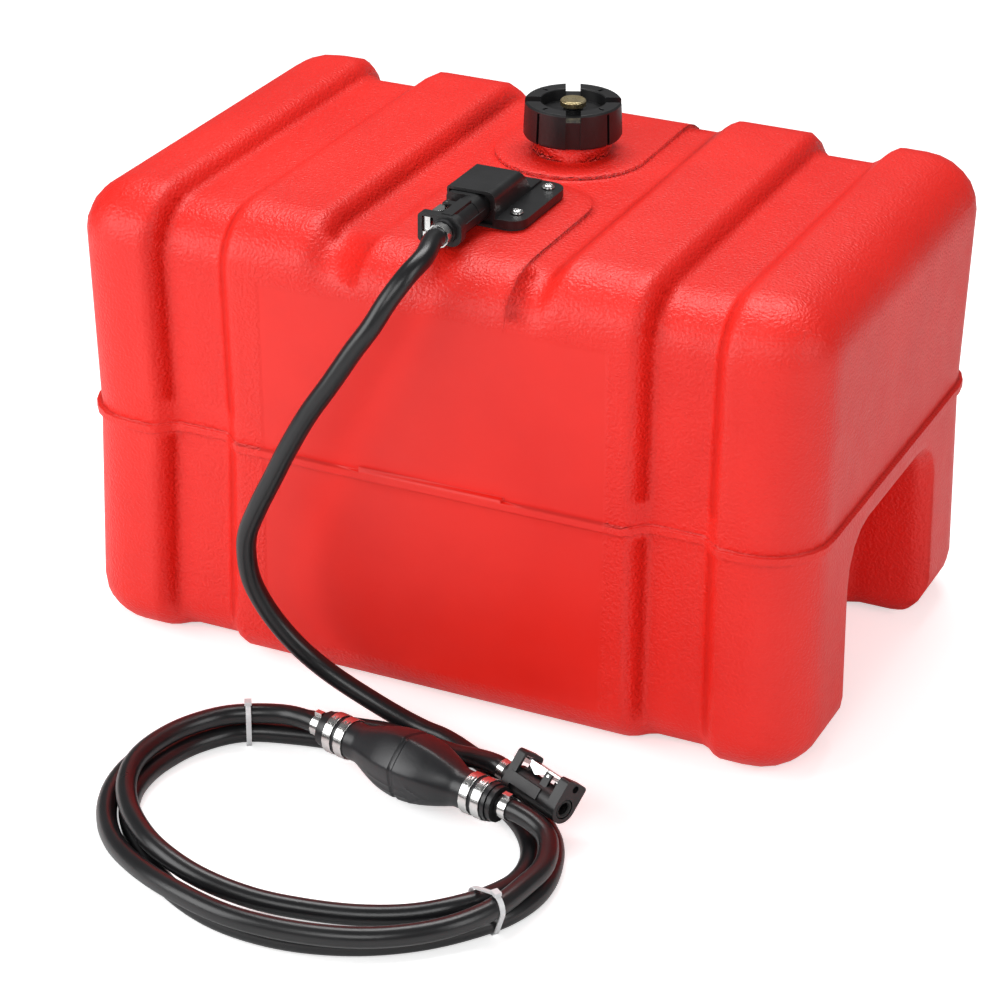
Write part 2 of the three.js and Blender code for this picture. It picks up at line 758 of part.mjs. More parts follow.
function tankNipple() {
  const lead = nippleRadius / 6;
  const profile = [
    [passageRadius, 0], [nippleSeatRadius, 0], [nippleSeatRadius, nippleSeat],
    [nippleRadius, nippleSeat], [nippleRadius, nippleSeat + nippleLength - lead],
    [nippleRadius - lead, nippleSeat + nippleLength], [passageRadius, nippleSeat + nippleLength],
  ];
  return turned(profile, smallSides).rotate([90, 0, 0]).translate([0, bulkheadY + nippleSeat, outletZ]);
}

addNode(nodes, 'tank_nipple', tankNipple(), metal(brassYellow));
addNode(nodes, 'guide_pin', rodAlongY(guideRadius, bulkheadY - guideDepth, bulkheadY + guideDepth,
  -guideAt, outletZ), metal(steelGrey));

const strainerTop = wall + strainerFloorGap + strainerHeight;
addNode(nodes, 'pickup_tube', washer(pickupRadius, pickupBore, strainerTop + gap, padTop - spigotDrop - gap)
  .translate([0, outletY, 0]), plastic(filterWhite));
addNode(nodes, 'pickup_strainer', turned([
  [0, strainerTop - strainerHeight], [strainerRadius, strainerTop - strainerHeight],
  [strainerRadius, strainerTop - pickupRadius], [pickupRadius, strainerTop], [0, strainerTop],
], smallSides).translate([0, outletY, 0]), plastic(filterWhite));

// Quick connector, in its own axes: Z is the way it is plugged in, X points to the latch

const faceZ = coupLength;
const throatTop = faceZ - socketDepth;
const chamberTop = throatTop - throatLength;
const chamberLow = chamberTop - chamberLength;
const plateLow = coupLength - plateThick;

function connectorBody() {
  const yoke = prism(roundedRectangle(-yokeNear, yokeFar, -yokeHalf, yokeHalf,
    [yokeNearRound, yokeRound, yokeRound, yokeNearRound]), 0, yokeThick);
  const window = block(windowFrom, windowTo, -windowHalf, windowHalf, -overrun, yokeThick + overrun);
  const barrel = rod(barrelRadius, yokeThick / 2, plateLow + gap, 0, 0, roundSides);
  const plate = prism(roundedRectangle(-plateHalf, plateFar, -plateHalf, plateHalf,
    [plateHalf - weld, plateRound, plateRound, plateHalf - weld]), plateLow, faceZ);
  const hub = rod(hubRadius, -hubLength, yokeThick / 2, 0, 0, roundSides);
  const rib = block(-keyRibHalf, keyRibHalf, 0, barrelRadius + keyRibRise, yokeThick / 2, keyRibEnd);
  const sideRib = block(-barrelRadius - keyRibRise / 2, 0, -sideRibHalf, sideRibHalf, yokeThick / 2,
    plateLow + gap);
  const ring = rod(barrelRadius + keyRibRise / 3, keyRibEnd, plateLow + gap, 0, 0, roundSides);
  const earLow = latchHalf + gap;
  const ears = endSigns.map((sign) => block(barrelRadius / 3, latchPivotOut + latchPinRadius * 2,
    Math.min(sign * earLow, sign * (earLow + latchEarThick)),
    Math.max(sign * earLow, sign * (earLow + latchEarThick)),
    latchPivotAlong - latchEarHalfLength, latchPivotAlong + latchEarHalfLength));
  let body = join(yoke.subtract(window), barrel, plate, hub, rib, sideRib, ring, ...ears);
  body = cut(body,
    rod(sealSeatRadius, faceZ - sealSeatDepth, faceZ + overrun),
    rod(socketRadius, throatTop, faceZ + overrun),
    rod(throatRadius, chamberTop - gap, throatTop + gap),
    rod(chamberRadius, chamberLow, chamberTop),
    rod(throatRadius, -hubLength - overrun, chamberLow + gap),
    rod(guideRadius + gap, plateLow - overrun, faceZ + overrun, guideAt, 0),
    rodAlongY(latchPinRadius + gap, -barrelRadius * 2, barrelRadius * 2, latchPivotOut, latchPivotAlong));
  return body;
}

function connectorLatch() {
  const inner = latchOuter - latchThick;
  const arm = block(inner, latchOuter, -latchHalf, latchHalf, latchFrom, latchTo);
  const wing = block(inner, latchOuter, 0, latchTabOut + latchThick, latchTabFrom, latchTabTo);
  const thumb = block(latchOuter - thumbDepth, latchOuter, -thumbHalf, thumbHalf, latchFrom,
    latchFrom + latchThick);
  const hook = block(inner - hookReach, latchOuter, -latchHalf / 2, latchHalf / 2, latchTo - latchThick,
    latchTo);
  const lugs = endSigns.map((sign) => block(latchPivotOut - latchPinRadius * 2, latchOuter,
    Math.min(sign * latchHalf, sign * (latchHalf - latchLugThick)),
    Math.max(sign * latchHalf, sign * (latchHalf - latchLugThick)),
    latchPivotAlong - latchPinRadius * 2, latchPivotAlong + latchPinRadius * 2));
  const outline = new THREE.Shape();
  outline.moveTo(latchTabFrom, latchOuter);
  outline.lineTo(latchTabFrom, latchTabShoulder);
  outline.lineTo((latchTabFrom + latchTabTo) / 2, latchTabTip);
  outline.lineTo(latchTabTo, latchTabShoulder);
  outline.lineTo(latchTabTo, latchOuter);
  const tab = prism(outline, latchTabOut, latchTabOut + latchThick).rotate([-90, -90, 0]);
  return join(arm, wing, thumb, hook, tab, ...lugs)
    .subtract(rodAlongY(latchPinRadius + gap, -barrelRadius, barrelRadius, latchPivotOut, latchPivotAlong));
}

function latchSpring() {
  const high = latchOuter - latchThick - gap;
  const outline = new THREE.Shape();
  outline.moveTo(springTo, high);
  outline.lineTo(springMiddle, high);
  outline.lineTo(springFrom, springDip + springThick);
  outline.lineTo(springFrom, springDip);
  outline.lineTo(springMiddle, high - springThick);
  outline.lineTo(springTo, high - springThick);
  return prism(outline, -springHalf, springHalf).rotate([-90, -90, 0]);
}

function checkPin(pushed) {
  const headTop = chamberTop - gap - pushed;
  const tip = faceZ - checkStemReach - pushed;
  return turned([
    [0, headTop - checkHeadThick], [checkHeadRadius, headTop - checkHeadThick],
    [checkHeadRadius, headTop], [checkStemRadius, headTop], [checkStemRadius, tip], [0, tip],
  ], smallSides);
}

// A clamp for the hose, with the pinched ear towards +X, from z = 0 up
function earClamp() {
  const inner = hoseRadius + gap;
  const outer = inner + clampThick;
  const ring = turned([[inner, 0], [outer, 0], [outer, clampWidth], [inner, clampWidth]], smallSides);
  const ear = block(outer - clampThick / 2, outer + clampEarRise, -clampEarWidth / 2, clampEarWidth / 2,
    0, clampWidth);
  return ring.add(ear);
}

// Puts a solid into the part: X and Z become the given directions, and its origin the given point
function placed(shape, origin, xDirection, zDirection) {
  const z = zDirection.clone().normalize();
  const y = z.clone().cross(xDirection).normalize();
  const x = y.clone().cross(z);
  const matrix = new THREE.Matrix4().makeBasis(x, y, z).setPosition(origin);
  return shape.transform(matrix.elements);
}

// The pieces of one connector, named with the given prefix
function addConnector(prefix, origin, latchDirection, plugDirection, pushed) {
  const put = (shape) => placed(shape, origin, latchDirection, plugDirection);
  const pinReach = latchHalf + gap + latchEarThick;
  const sealAt = faceZ - sealSeatDepth + gap + sealRadius;
  const seal = new THREE.TorusGeometry(nippleRadius + gap + sealRadius, sealRadius, smallSides / 2,
    smallSides);
  const springLow = chamberLow + gap;
  addNode(nodes, `${prefix}_connector`, put(connectorBody()), plastic(black));
  addNode(nodes, `${prefix}_latch`, put(connectorLatch()), metal(steelGrey));
  addNode(nodes, `${prefix}_latch_spring`, put(latchSpring()), metal(steelGrey));
  addNode(nodes, `${prefix}_latch_pin`, put(rodAlongY(latchPinRadius, -pinReach, pinReach,
    latchPivotOut, latchPivotAlong)), metal(steelGrey));
  addNode(nodes, `${prefix}_seal`, put(solid(seal).translate([0, 0, sealAt])), rubber(sealBlack));
  addNode(nodes, `${prefix}_check_pin`, put(checkPin(pushed)), metal(brassYellow));
  addNode(nodes, `${prefix}_check_spring`, put(washer(chamberRadius - gap,
    chamberRadius - gap - checkSpringWall, springLow, springLow + checkSpringLength)), metal(steelGrey));
  addNode(nodes, `${prefix}_hose_clamp`, put(earClamp()
    .translate([0, 0, -hubLength - gap * 4 - clampWidth])), metal(steelGrey));
}

const vector = (x, y, z) => new THREE.Vector3(x, y, z);
const inUnits = ([x, y, z]) => vector(x, y, z).multiplyScalar(routeLength);

const tankPlug = vector(0, bulkheadY - gap - coupLength, outletZ);
addConnector('tank', tankPlug, vector(-1, 0, 0), vector(0, 1, 0), checkOpened);

// Engine connector: it lies on the coil, its latch up and to the back
const enginePlugDirection = vector(0.912, -0.407, -0.04).normalize();
const engineMouthShare = [1.59, -2.965, 0.262];
const engineLatchTilt = Math.PI / 180 * 52;
const enginePlug = inUnits(engineMouthShare).addScaledVector(enginePlugDirection, -coupLength);
const engineSide = enginePlugDirection.clone().cross(vector(0, 0, 1)).normalize().negate();
const engineLatchDirection = engineSide.multiplyScalar(Math.cos(engineLatchTilt))
  .add(vector(0, 0, Math.sin(engineLatchTilt)));
addConnector('engine', enginePlug, engineLatchDirection, enginePlugDirection, 0);

// Primer bulb, with a fitting, two bands and an ear clamp at each end

const bulbMiddle = inUnits([0.45, -2.92, 0.27]);
const bulbDirection = vector(0.971, -0.24, 0).normalize();
const up = vector(0, 0, 1);
const neckInner = bulbNeckRadius - bulbWall;

function primerBulb() {
  const shoulderShares = [[1, 0], [0.91, 0.06], [0.76, 0.3], [0.6, 0.56], [0.44, 0.77], [0.26, 0.92], [0.1, 1]];
  const half = (thin, rows = shoulderShares) => [
    [bulbNeckRadius - thin, bulbNeckEnd],
    ...rows.map(([alongShare, riseShare]) => [
      bulbNeckRadius + (bulbRadius - bulbNeckRadius) * riseShare - thin,
      bulbNeckFrom * alongShare,
    ]),
  ];
  const groove = [[bulbRadius, bulbSeam * 2], [bulbRadius - bulbSeam, bulbSeam]];
  const outside = [...half(0), ...groove];
  const inside = half(bulbWall, shoulderShares.filter((row, n) => n % 2 === 0));
  const flip = (list) => list.map(([r, z]) => [r, -z]).reverse();
  const profile = [...outside.map(([r, z]) => [r, -z]), ...outside.slice().reverse(),
    ...inside, ...flip(inside)];
  return turned(profile);
}

function bulbFitting() {
  const plug = neckInner - gap;
  const collarLow = bulbNeckEnd + gap;
  const seat = bulbNeckFrom + fitLip + valveChamberLength;
  return turned([
    [fitLipBore, bulbNeckFrom], [plug, bulbNeckFrom], [plug, collarLow], [fitCollarRadius, collarLow],
    [fitCollarRadius, collarLow + fitCollarThick], [hoseRadius, collarLow + fitCollarThick],
    [hoseRadius, fitStub], [fitBore, fitStub], [fitBore, seat], [valveChamberRadius, seat],
    [valveChamberRadius, bulbNeckFrom + fitLip], [fitLipBore, bulbNeckFrom + fitLip],
  ], ringSides);
}

function bulbBands() {
  const inner = bulbNeckRadius + gap;
  return [bandFirst, bandSecond].map((from) => washer(inner + bandThick, inner, from, from + bandWidth));
}

function addBulbEnd(name, direction, valveLow) {
  const put = (shape) => placed(shape, bulbMiddle, up, direction);
  addNode(nodes, `bulb_${name}_fitting`, put(bulbFitting()), plastic(black));
  bulbBands().forEach((band, n) => {
    addNode(nodes, `bulb_${name}_band_${n + 1}`, put(band), metal(steelGrey));
  });
  addNode(nodes, `bulb_${name}_ear_clamp`, put(earClamp().translate([0, 0, fitStub + gap * 4])),
    metal(steelGrey));
  addNode(nodes, `bulb_${name}_valve`, put(rod(valveRadius, valveLow, valveLow + valveThick)),
    plastic(filterWhite));
}

addNode(nodes, 'primer_bulb', placed(primerBulb(), bulbMiddle, up, bulbDirection), rubber(rubberBlack));
const valveSeatLow = bulbNeckFrom + fitLip + gap;
const valveSeatHigh = bulbNeckFrom + fitLip + valveChamberLength - gap - valveThick;
addBulbEnd('inlet', bulbDirection.clone().negate(), valveSeatHigh);
addBulbEnd('outlet', bulbDirection, valveSeatLow);

// Hoses. Each free run is a smooth curve through chosen points; each coil follows the oval,
// with the lane and the layer as tables of degrees, lane share and layer share.

const floorZ = hoseRadius + hoseLift;

function coilPoint(degrees, lane, layer) {
  const angle = degrees * Math.PI / 180;
  return vector(coilMiddleX + (coilHalfX + lane * lanePitch) * Math.cos(angle),
    coilMiddleY - (coilHalfY + lane * lanePitch) * Math.sin(angle), floorZ + layer * layerPitch);
}

// The lane and the layer at an angle, on smooth curves through the rows of a table
function atDegrees(shares, degrees) {
  const n = Math.max(shares.findIndex((row) => row[0] >= degrees), 1);
  const [before, after] = [shares[n - 1], shares[n]];
  const span = after[0] - before[0];
  const t = (degrees - before[0]) / span;
  const ease = t * t * (3 - 2 * t);
  const slope = (row, column) => {
    const [low, high] = [shares[Math.max(row - 1, 0)], shares[Math.min(row + 1, shares.length - 1)]];
    return (high[column] - low[column]) / (high[0] - low[0]) * span;
  };
  return [1, 2].map((column) => before[column] + (after[column] - before[column]) * ease
    + slope(n - 1, column) * t * (1 - t) ** 2 - slope(n, column) * t * t * (1 - t));
}

function coilRun(shares) {
  const first = shares[0][0];
  const last = shares[shares.length - 1][0];
  const steps = Math.round((last - first) / 360 * coilStepsPerTurn);
  const points = [];
  for (let n = 0; n <= steps; n += 1) {
    const degrees = first + (last - first) * n / steps;
    points.push(coilPoint(degrees, ...atDegrees(shares, degrees)));
  }
  return points;
}

// Points of a straight run of one hose diameter that ends, or starts, at the given point
const leadIn = (end, direction) => [2, 1, 0].map((n) => end.clone()
  .addScaledVector(direction, -n * hoseRadius));
const leadOut = (start, direction) => [0, 1, 2].map((n) => start.clone()
  .addScaledVector(direction, n * hoseRadius));

// A round hose along a smooth curve through the points, with a ring of vertices at each point
function hose(points, sides) {
  const path = new THREE.CatmullRomCurve3(points, false, 'centripetal');
  path.getUtoTmapping = (share) => share;
  const steps = points.length - 1;
  const circle = new THREE.Shape();
  for (let n = 0; n < sides; n += 1) {
    const angle = n * 2 * Math.PI / sides;
    const [x, y] = [hoseRadius * Math.cos(angle), hoseRadius * Math.sin(angle)];
    if (n === 0) circle.moveTo(x, y);
    else circle.lineTo(x, y);
  }
  circle.closePath();
  const geometry = new THREE.ExtrudeGeometry(circle, { extrudePath: path, steps, bevelEnabled: false });
  return solid(geometry);
}

const firstCoilShares = [
  [-40, 1.26, 0], [-30, 1.19, 0], [-18, 1.09, 0], [-4, 1.08, 0], [10, 1.27, 0], [24, 1.4, 0], [38, 1.57, 0],
  [50, 1.87, 0], [62, 2.14, 0], [74, 2.29, 0], [84, 2.28, 0], [94, 2.07, 0], [104, 1.66, 0],
  [114, 1.14, 0], [124, 0.64, 0], [134, 0.26, 0], [146, 0, 0], [160, -0.18, 0], [175, -0.23, 0],
  [188, -0.1, 0], [200, 0.18, 0], [211, 0.6, 0], [221, 1.02, 0], [228, 1.15, 0], [236, 1.05, 0],
  [246, 0.85, 0], [258, 0.72, 0], [274, 0.55, 0], [292, 0.42, 0], [312, 0.3, 0], [330, 0.16, 0],
  [345, 0.07, 0], [358, 0, 0.02], [368, 0.02, 0.1], [378, 0.14, 0.3], [385, 0.28, 0.42], [393, 0.28, 0.38],
  [404, 0.1, 0.16], [414, -0.06, 0], [426, -0.03, 0], [440, 0.02, 0.02], [450, 0.3, 0.2], [460, 0.55, 0.46],
  [470, 0.64, 0.75], [480, 0.58, 0.95], [490, 0.34, 1], [504, 0.08, 1], [518, -0.08, 1], [532, -0.02, 1],
  [545, 0.12, 1], [556, 0.34, 1], [566, 0.62, 1], [575, 0.95, 1], [583, 1.14, 1], [591, 1.04, 1.04],
  [599, 0.82, 1.15],
];
const secondCoilShares = [
  [-16, 0.76, 1.1], [-6, 1.01, 1], [6, 1.15, 1], [18, 1.38, 1], [28, 1.85, 1], [38, 2.32, 1],
  [50, 2.74, 0.98], [62, 2.92, 0.94], [76, 2.9, 0.93], [90, 2.74, 0.93], [100, 2.42, 0.9], [110, 2.06, 0.8],
  [120, 1.73, 0.6], [130, 1.42, 0.36], [140, 1.12, 0.15], [150, 0.92, 0.03], [162, 0.79, 0], [174, 0.79, 0],
  [186, 0.92, 0], [198, 1.24, 0], [210, 1.83, 0], [220, 2.3, 0], [228, 2.5, 0], [234, 2.54, 0],
  [240, 2.46, 0], [247, 2.27, 0], [254, 2.1, 0],
];

const firstCoil = coilRun(firstCoilShares);
const secondCoil = coilRun(secondCoilShares);
const coilStartDirection = firstCoil[1].clone().sub(firstCoil[0]).normalize();
const coilEndDirection = secondCoil[secondCoil.length - 1].clone()
  .sub(secondCoil[secondCoil.length - 2]).normalize();

const bulbInletEnd = bulbMiddle.clone().addScaledVector(bulbDirection, -fitStub - gap);
const bulbOutletEnd = bulbMiddle.clone().addScaledVector(bulbDirection, fitStub + gap);
const coilStart = firstCoil[0].clone().addScaledVector(coilStartDirection, -hoseRadius * 2);
const coilEnd = secondCoil[secondCoil.length - 1].clone().addScaledVector(coilEndDirection, hoseRadius * 2);

const firstCoilPath = [...leadOut(coilStart, coilStartDirection).slice(0, 2), ...firstCoil,
  ...leadIn(bulbInletEnd, bulbDirection)];
const coilEntryShare = [1.48, -3.19, 0.256];
const secondCoilPath = [...leadOut(bulbOutletEnd, bulbDirection), inUnits(coilEntryShare), ...secondCoil,
  ...leadIn(coilEnd, coilEndDirection).slice(1)];

const hangingShares = [
  [0.04, -1.88, 3.49], [0, -2.05, 3.415], [-0.08, -2.17, 3.27], [-0.17, -2.245, 3.09],
  [-0.28, -2.285, 2.92], [-0.43, -2.33, 2.67], [-0.59, -2.36, 2.42], [-0.73, -2.38, 2.16],
  [-0.86, -2.39, 1.89], [-0.97, -2.4, 1.66], [-1.06, -2.4, 1.43], [-1.08, -2.38, 1.23],
  [-1.06, -2.36, 1.06], [-1, -2.32, 0.88], [-0.9, -2.27, 0.69], [-0.76, -2.22, 0.51],
  [-0.59, -2.185, 0.37], [-0.415, -2.165, 0.27], [-0.237, -2.155, 0.19], [-0.052, -2.158, 0.125],
  [0.08, -2.165, 0.09], [0.2, -2.185, 0.076], [0.33, -2.21, 0.074], [0.46, -2.26, 0.074],
  [0.6, -2.33, 0.074], [0.76, -2.41, 0.074], [0.92, -2.495, 0.074], [1.05, -2.56, 0.074],
];
const engineRunShares = [
  [0.05, -2.32, 0.074], [0.18, -2.345, 0.078], [0.34, -2.39, 0.098], [0.51, -2.46, 0.137],
  [0.66, -2.54, 0.19], [0.8, -2.605, 0.242],
];

const tankHoseStart = tankPlug.clone().addScaledVector(vector(0, 1, 0), -hubLength - gap);
const tankHosePath = [...leadOut(tankHoseStart, vector(0, -1, 0)), ...hangingShares.map(inUnits),
  ...leadIn(coilStart.clone().addScaledVector(coilStartDirection, -gap), coilStartDirection)];
const engineHoseEnd = enginePlug.clone().addScaledVector(enginePlugDirection, -hubLength - gap);
const engineHosePath = [...leadOut(coilEnd.clone().addScaledVector(coilEndDirection, gap), coilEndDirection),
  ...engineRunShares.map(inUnits), ...leadIn(engineHoseEnd, enginePlugDirection)];

addNode(nodes, 'tank_hose', hose(tankHosePath, hoseSides), rubber(rubberBlack));
addNode(nodes, 'tank_hose_coil', hose(firstCoilPath, coilSides), rubber(rubberBlack));
addNode(nodes, 'engine_hose_coil', hose(secondCoilPath, coilSides), rubber(rubberBlack));
addNode(nodes, 'engine_hose', hose(engineHosePath, hoseSides), rubber(rubberBlack));

// Ties: a band drawn round the strands that cross one section of the coil, with its head on top
function coilTie(degrees) {
  const origin = coilPoint(degrees, 0, 0);
  const along = coilPoint(degrees + 1, 0, 0).sub(coilPoint(degrees - 1, 0, 0)).normalize();
  const outward = up.clone().cross(along);
  const centres = [];
  [firstCoilPath, secondCoilPath].forEach((path) => path.slice(1).forEach((end, n) => {
    const before = path[n].clone().sub(origin);
    const after = end.clone().sub(origin);
    const [a, b] = [before.dot(along), after.dot(along)];
    if (a * b > 0) return;
    const point = before.lerp(after, a / (a - b));
    if (Math.abs(point.dot(outward)) < lanePitch * 2) centres.push([point.dot(outward), point.z]);
  }));
  const outline = (radius) => {
    const points = [];
    for (let n = 0; n < roundSides; n += 1) {
      const angle = n * 2 * Math.PI / roundSides;
      const [c, s] = [Math.cos(angle), Math.sin(angle)];
      const far = centres.reduce((best, p) => (p[0] * c + p[1] * s > best[0] * c + best[1] * s ? p : best));
      points.push(new THREE.Vector2(far[0] + radius * c, far[1] + radius * s));
    }
    return points;
  };
  const inner = hoseRadius + tieSlack;
  const band = new THREE.Shape(outline(inner + tieThick));
  band.holes.push(new THREE.Path(outline(inner)));
  const top = centres.reduce((best, p) => (p[1] > best[1] ? p : best));
  const headLow = top[1] + inner + tieThick / 2;
  const head = block(top[0] - tieHeadLength / 2, top[0] + tieHeadLength / 2, headLow, headLow + tieHeadRise,
    -tieHeadWidth / 2, tieHeadWidth / 2);
  const shape = prism(band, -tieWidth / 2, tieWidth / 2).add(head);
  return placed(shape, origin, outward, along);
}

const rearTieDegrees = 228;
const frontTieDegrees = 25;
addNode(nodes, 'coil_tie_rear', coilTie(rearTieDegrees), plastic(tieWhite));
addNode(nodes, 'coil_tie_front', coilTie(frontTieDegrees), plastic(tieWhite));

// Least distance between the surfaces of the hoses, away from where a run follows itself
function leastGap() {
  const sampled = (points) => new THREE.CatmullRomCurve3(points, false, 'centripetal')
    .getSpacedPoints(points.length * coilStepsPerTurn);
  const runs = [[...tankHosePath, ...firstCoilPath.slice(1)], [...secondCoilPath, ...engineHosePath.slice(1)]]
    .map(sampled);
  let least = Infinity;
  let where = null;
  const note = (a, b) => {
    const distance = a.distanceTo(b) - hoseRadius * 2;
    if (distance < least) {
      least = distance;
      where = a;
    }
  };
  runs.forEach((run) => {
    const step = run[0].distanceTo(run[1]);
    const skip = Math.ceil(hoseRadius * coilSides / step);
    run.forEach((a, i) => {
      for (let j = i + skip; j < run.length; j += 1) note(a, run[j]);
    });
  });
  runs[0].forEach((a) => runs[1].forEach((b) => note(a, b)));
  return [least, where];
}

const [coilGap, coilGapAt] = leastGap();
console.log(`least gap between hose strands ${coilGap.toFixed(2)} mm at `
  + `${coilGapAt.toArray().map((v) => v.toFixed(0)).join(', ')}`);

export default nodes;
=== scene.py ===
# A portable outboard fuel tank with its vented cap, fuel outlet, two quick connectors and a
# coiled hose with a primer bulb. Metres, +Z up, +X along the tank, the fuel outlet towards -Y.
import math

import bmesh
import bpy
from mathutils import Matrix, Vector


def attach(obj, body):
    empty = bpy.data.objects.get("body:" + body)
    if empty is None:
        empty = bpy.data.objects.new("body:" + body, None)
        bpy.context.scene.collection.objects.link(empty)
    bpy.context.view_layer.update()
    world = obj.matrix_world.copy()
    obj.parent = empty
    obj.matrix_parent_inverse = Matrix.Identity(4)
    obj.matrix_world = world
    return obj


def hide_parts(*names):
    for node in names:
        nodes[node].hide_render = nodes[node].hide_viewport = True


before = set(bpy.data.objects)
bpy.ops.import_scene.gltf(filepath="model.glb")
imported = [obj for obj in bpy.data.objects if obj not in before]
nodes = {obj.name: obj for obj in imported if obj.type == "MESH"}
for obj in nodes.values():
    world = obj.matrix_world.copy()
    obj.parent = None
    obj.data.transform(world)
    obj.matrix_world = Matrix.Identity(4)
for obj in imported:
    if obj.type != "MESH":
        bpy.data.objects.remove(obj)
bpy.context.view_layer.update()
bpy.ops.object.select_all(action="DESELECT")

# Camera: stands at the front right, a little above the tank, with a long lens, as the
# photograph was taken.
camera_data = bpy.data.cameras.new("camera")
sensor_width_mm = 36
lens_mm = 115.25
farthest_seen = 20
camera_place = Vector((0.86554, -1.93032, 1.1611))
camera_data.sensor_width = sensor_width_mm
camera_data.lens = lens_mm
camera_data.clip_end = farthest_seen
camera = bpy.data.objects.new("camera", camera_data)
bpy.context.scene.collection.objects.link(camera)
camera_back = Vector((0.37372, -0.80874, 0.45417)).normalized()
camera_right = Vector((0.90612, 0.42296, 0.00756)).normalized()
camera_up = camera_back.cross(camera_right).normalized()
camera_right = camera_up.cross(camera_back)
camera.matrix_world = (Matrix.Translation(camera_place)
                       @ Matrix((camera_right, camera_up, camera_back)).transposed().to_4x4())
bpy.context.scene.camera = camera

# Fuel hose: extruded satin black rubber, 14 mm across. One length runs from the tank's
# connector down to the floor, nearly twice round the coil and into the primer bulb. The other
# leaves the bulb, goes three quarters round the coil and ends in the engine's connector.
hose_radius = 0.007
floor_z = 0.0074
coil_middle = (0.013, -0.357)
coil_half = (0.142, 0.093)
lane_pitch = 0.0152
layer_pitch = 0.0148
route_length = 0.1
steps_per_turn = 24
full_turn = 360


def coil_point(degrees, lane, layer):
    """A place on the oval coil, so many lanes outwards and so many layers up."""
    angle = math.radians(degrees)
    return Vector((coil_middle[0] + (coil_half[0] + lane * lane_pitch) * math.cos(angle),
                   coil_middle[1] - (coil_half[1] + lane * lane_pitch) * math.sin(angle),
                   floor_z + layer * layer_pitch))


def at_degrees(rows, degrees):
    """The lane and layer at an angle, eased between the rows before and after it."""
    after = max(next((n for n, row in enumerate(rows) if row[0] >= degrees), len(rows) - 1), 1)
    a, b = rows[after - 1], rows[after]
    span = b[0] - a[0]
    t = (degrees - a[0]) / span
    ease = t * t * (3 - 2 * t)

    def slope(row, column):
        low, high = rows[max(row - 1, 0)], rows[min(row + 1, len(rows) - 1)]
        return (high[column] - low[column]) / (high[0] - low[0]) * span

    return [a[c] + (b[c] - a[c]) * ease + slope(after - 1, c) * t * (1 - t) ** 2
            - slope(after, c) * t * t * (1 - t) for c in (1, 2)]


def coil_run(rows):
    """Points round the coil from the first row's angle to the last one's."""
    first, last = rows[0][0], rows[-1][0]
    steps = round((last - first) / full_turn * steps_per_turn)
    turns = [first + (last - first) * n / steps for n in range(steps + 1)]
    return [coil_point(degrees, *at_degrees(rows, degrees)) for degrees in turns]


first_coil_rows = [
    (-40, 1.26, 0), (-30, 1.19, 0), (-18, 1.09, 0), (-4, 1.08, 0), (10, 1.27, 0), (24, 1.4, 0),
    (38, 1.57, 0), (50, 1.87, 0), (62, 2.14, 0), (74, 2.29, 0), (84, 2.28, 0), (94, 2.07, 0),
    (104, 1.66, 0), (114, 1.14, 0), (124, 0.64, 0), (134, 0.26, 0), (146, 0, 0), (160, -0.18, 0),
    (175, -0.23, 0), (188, -0.1, 0), (200, 0.18, 0), (211, 0.6, 0), (221, 1.02, 0), (228, 1.15, 0),
    (236, 1.05, 0), (246, 0.85, 0), (258, 0.72, 0), (274, 0.55, 0), (292, 0.42, 0), (312, 0.3, 0),
    (330, 0.16, 0), (345, 0.07, 0), (358, 0, 0.02), (368, 0.02, 0.1), (378, 0.14, 0.3),
    (385, 0.28, 0.42), (393, 0.28, 0.38), (404, 0.1, 0.16), (414, -0.06, 0), (426, -0.03, 0),
    (440, 0.02, 0.02), (450, 0.3, 0.2), (460, 0.55, 0.46), (470, 0.64, 0.75), (480, 0.58, 0.95),
    (490, 0.34, 1), (504, 0.08, 1), (518, -0.08, 1), (532, -0.02, 1), (545, 0.12, 1), (556, 0.34, 1),
    (566, 0.62, 1), (575, 0.95, 1), (583, 1.14, 1), (591, 1.04, 1.04), (599, 0.82, 1.15),
]
second_coil_rows = [
    (-16, 0.76, 1.1), (-6, 1.01, 1), (6, 1.15, 1), (18, 1.38, 1), (28, 1.85, 1), (38, 2.32, 1),
    (50, 2.74, 0.98), (62, 2.92, 0.94), (76, 2.9, 0.93), (90, 2.74, 0.93), (100, 2.42, 0.9),
    (110, 2.06, 0.8), (120, 1.73, 0.6), (130, 1.42, 0.36), (140, 1.12, 0.15), (150, 0.92, 0.03),
    (162, 0.79, 0), (174, 0.79, 0), (186, 0.92, 0), (198, 1.24, 0), (210, 1.83, 0), (220, 2.3, 0),
    (228, 2.5, 0), (234, 2.54, 0), (240, 2.46, 0), (247, 2.27, 0), (254, 2.1, 0),
]
hanging_rows = [
    (0.04, -1.88, 3.49), (0, -2.05, 3.415), (-0.08, -2.17, 3.27), (-0.17, -2.245, 3.09),
    (-0.28, -2.285, 2.92), (-0.43, -2.33, 2.67), (-0.59, -2.36, 2.42), (-0.73, -2.38, 2.16),
    (-0.86, -2.39, 1.89), (-0.97, -2.4, 1.66), (-1.06, -2.4, 1.43), (-1.08, -2.38, 1.23),
    (-1.06, -2.36, 1.06), (-1, -2.32, 0.88), (-0.9, -2.27, 0.69), (-0.76, -2.22, 0.51),
    (-0.59, -2.185, 0.37), (-0.415, -2.165, 0.27), (-0.237, -2.155, 0.19), (-0.052, -2.158, 0.125),
    (0.08, -2.165, 0.09), (0.2, -2.185, 0.076), (0.33, -2.21, 0.074), (0.46, -2.26, 0.074),
    (0.6, -2.33, 0.074), (0.76, -2.41, 0.074), (0.92, -2.495, 0.074), (1.05, -2.56, 0.074),
]
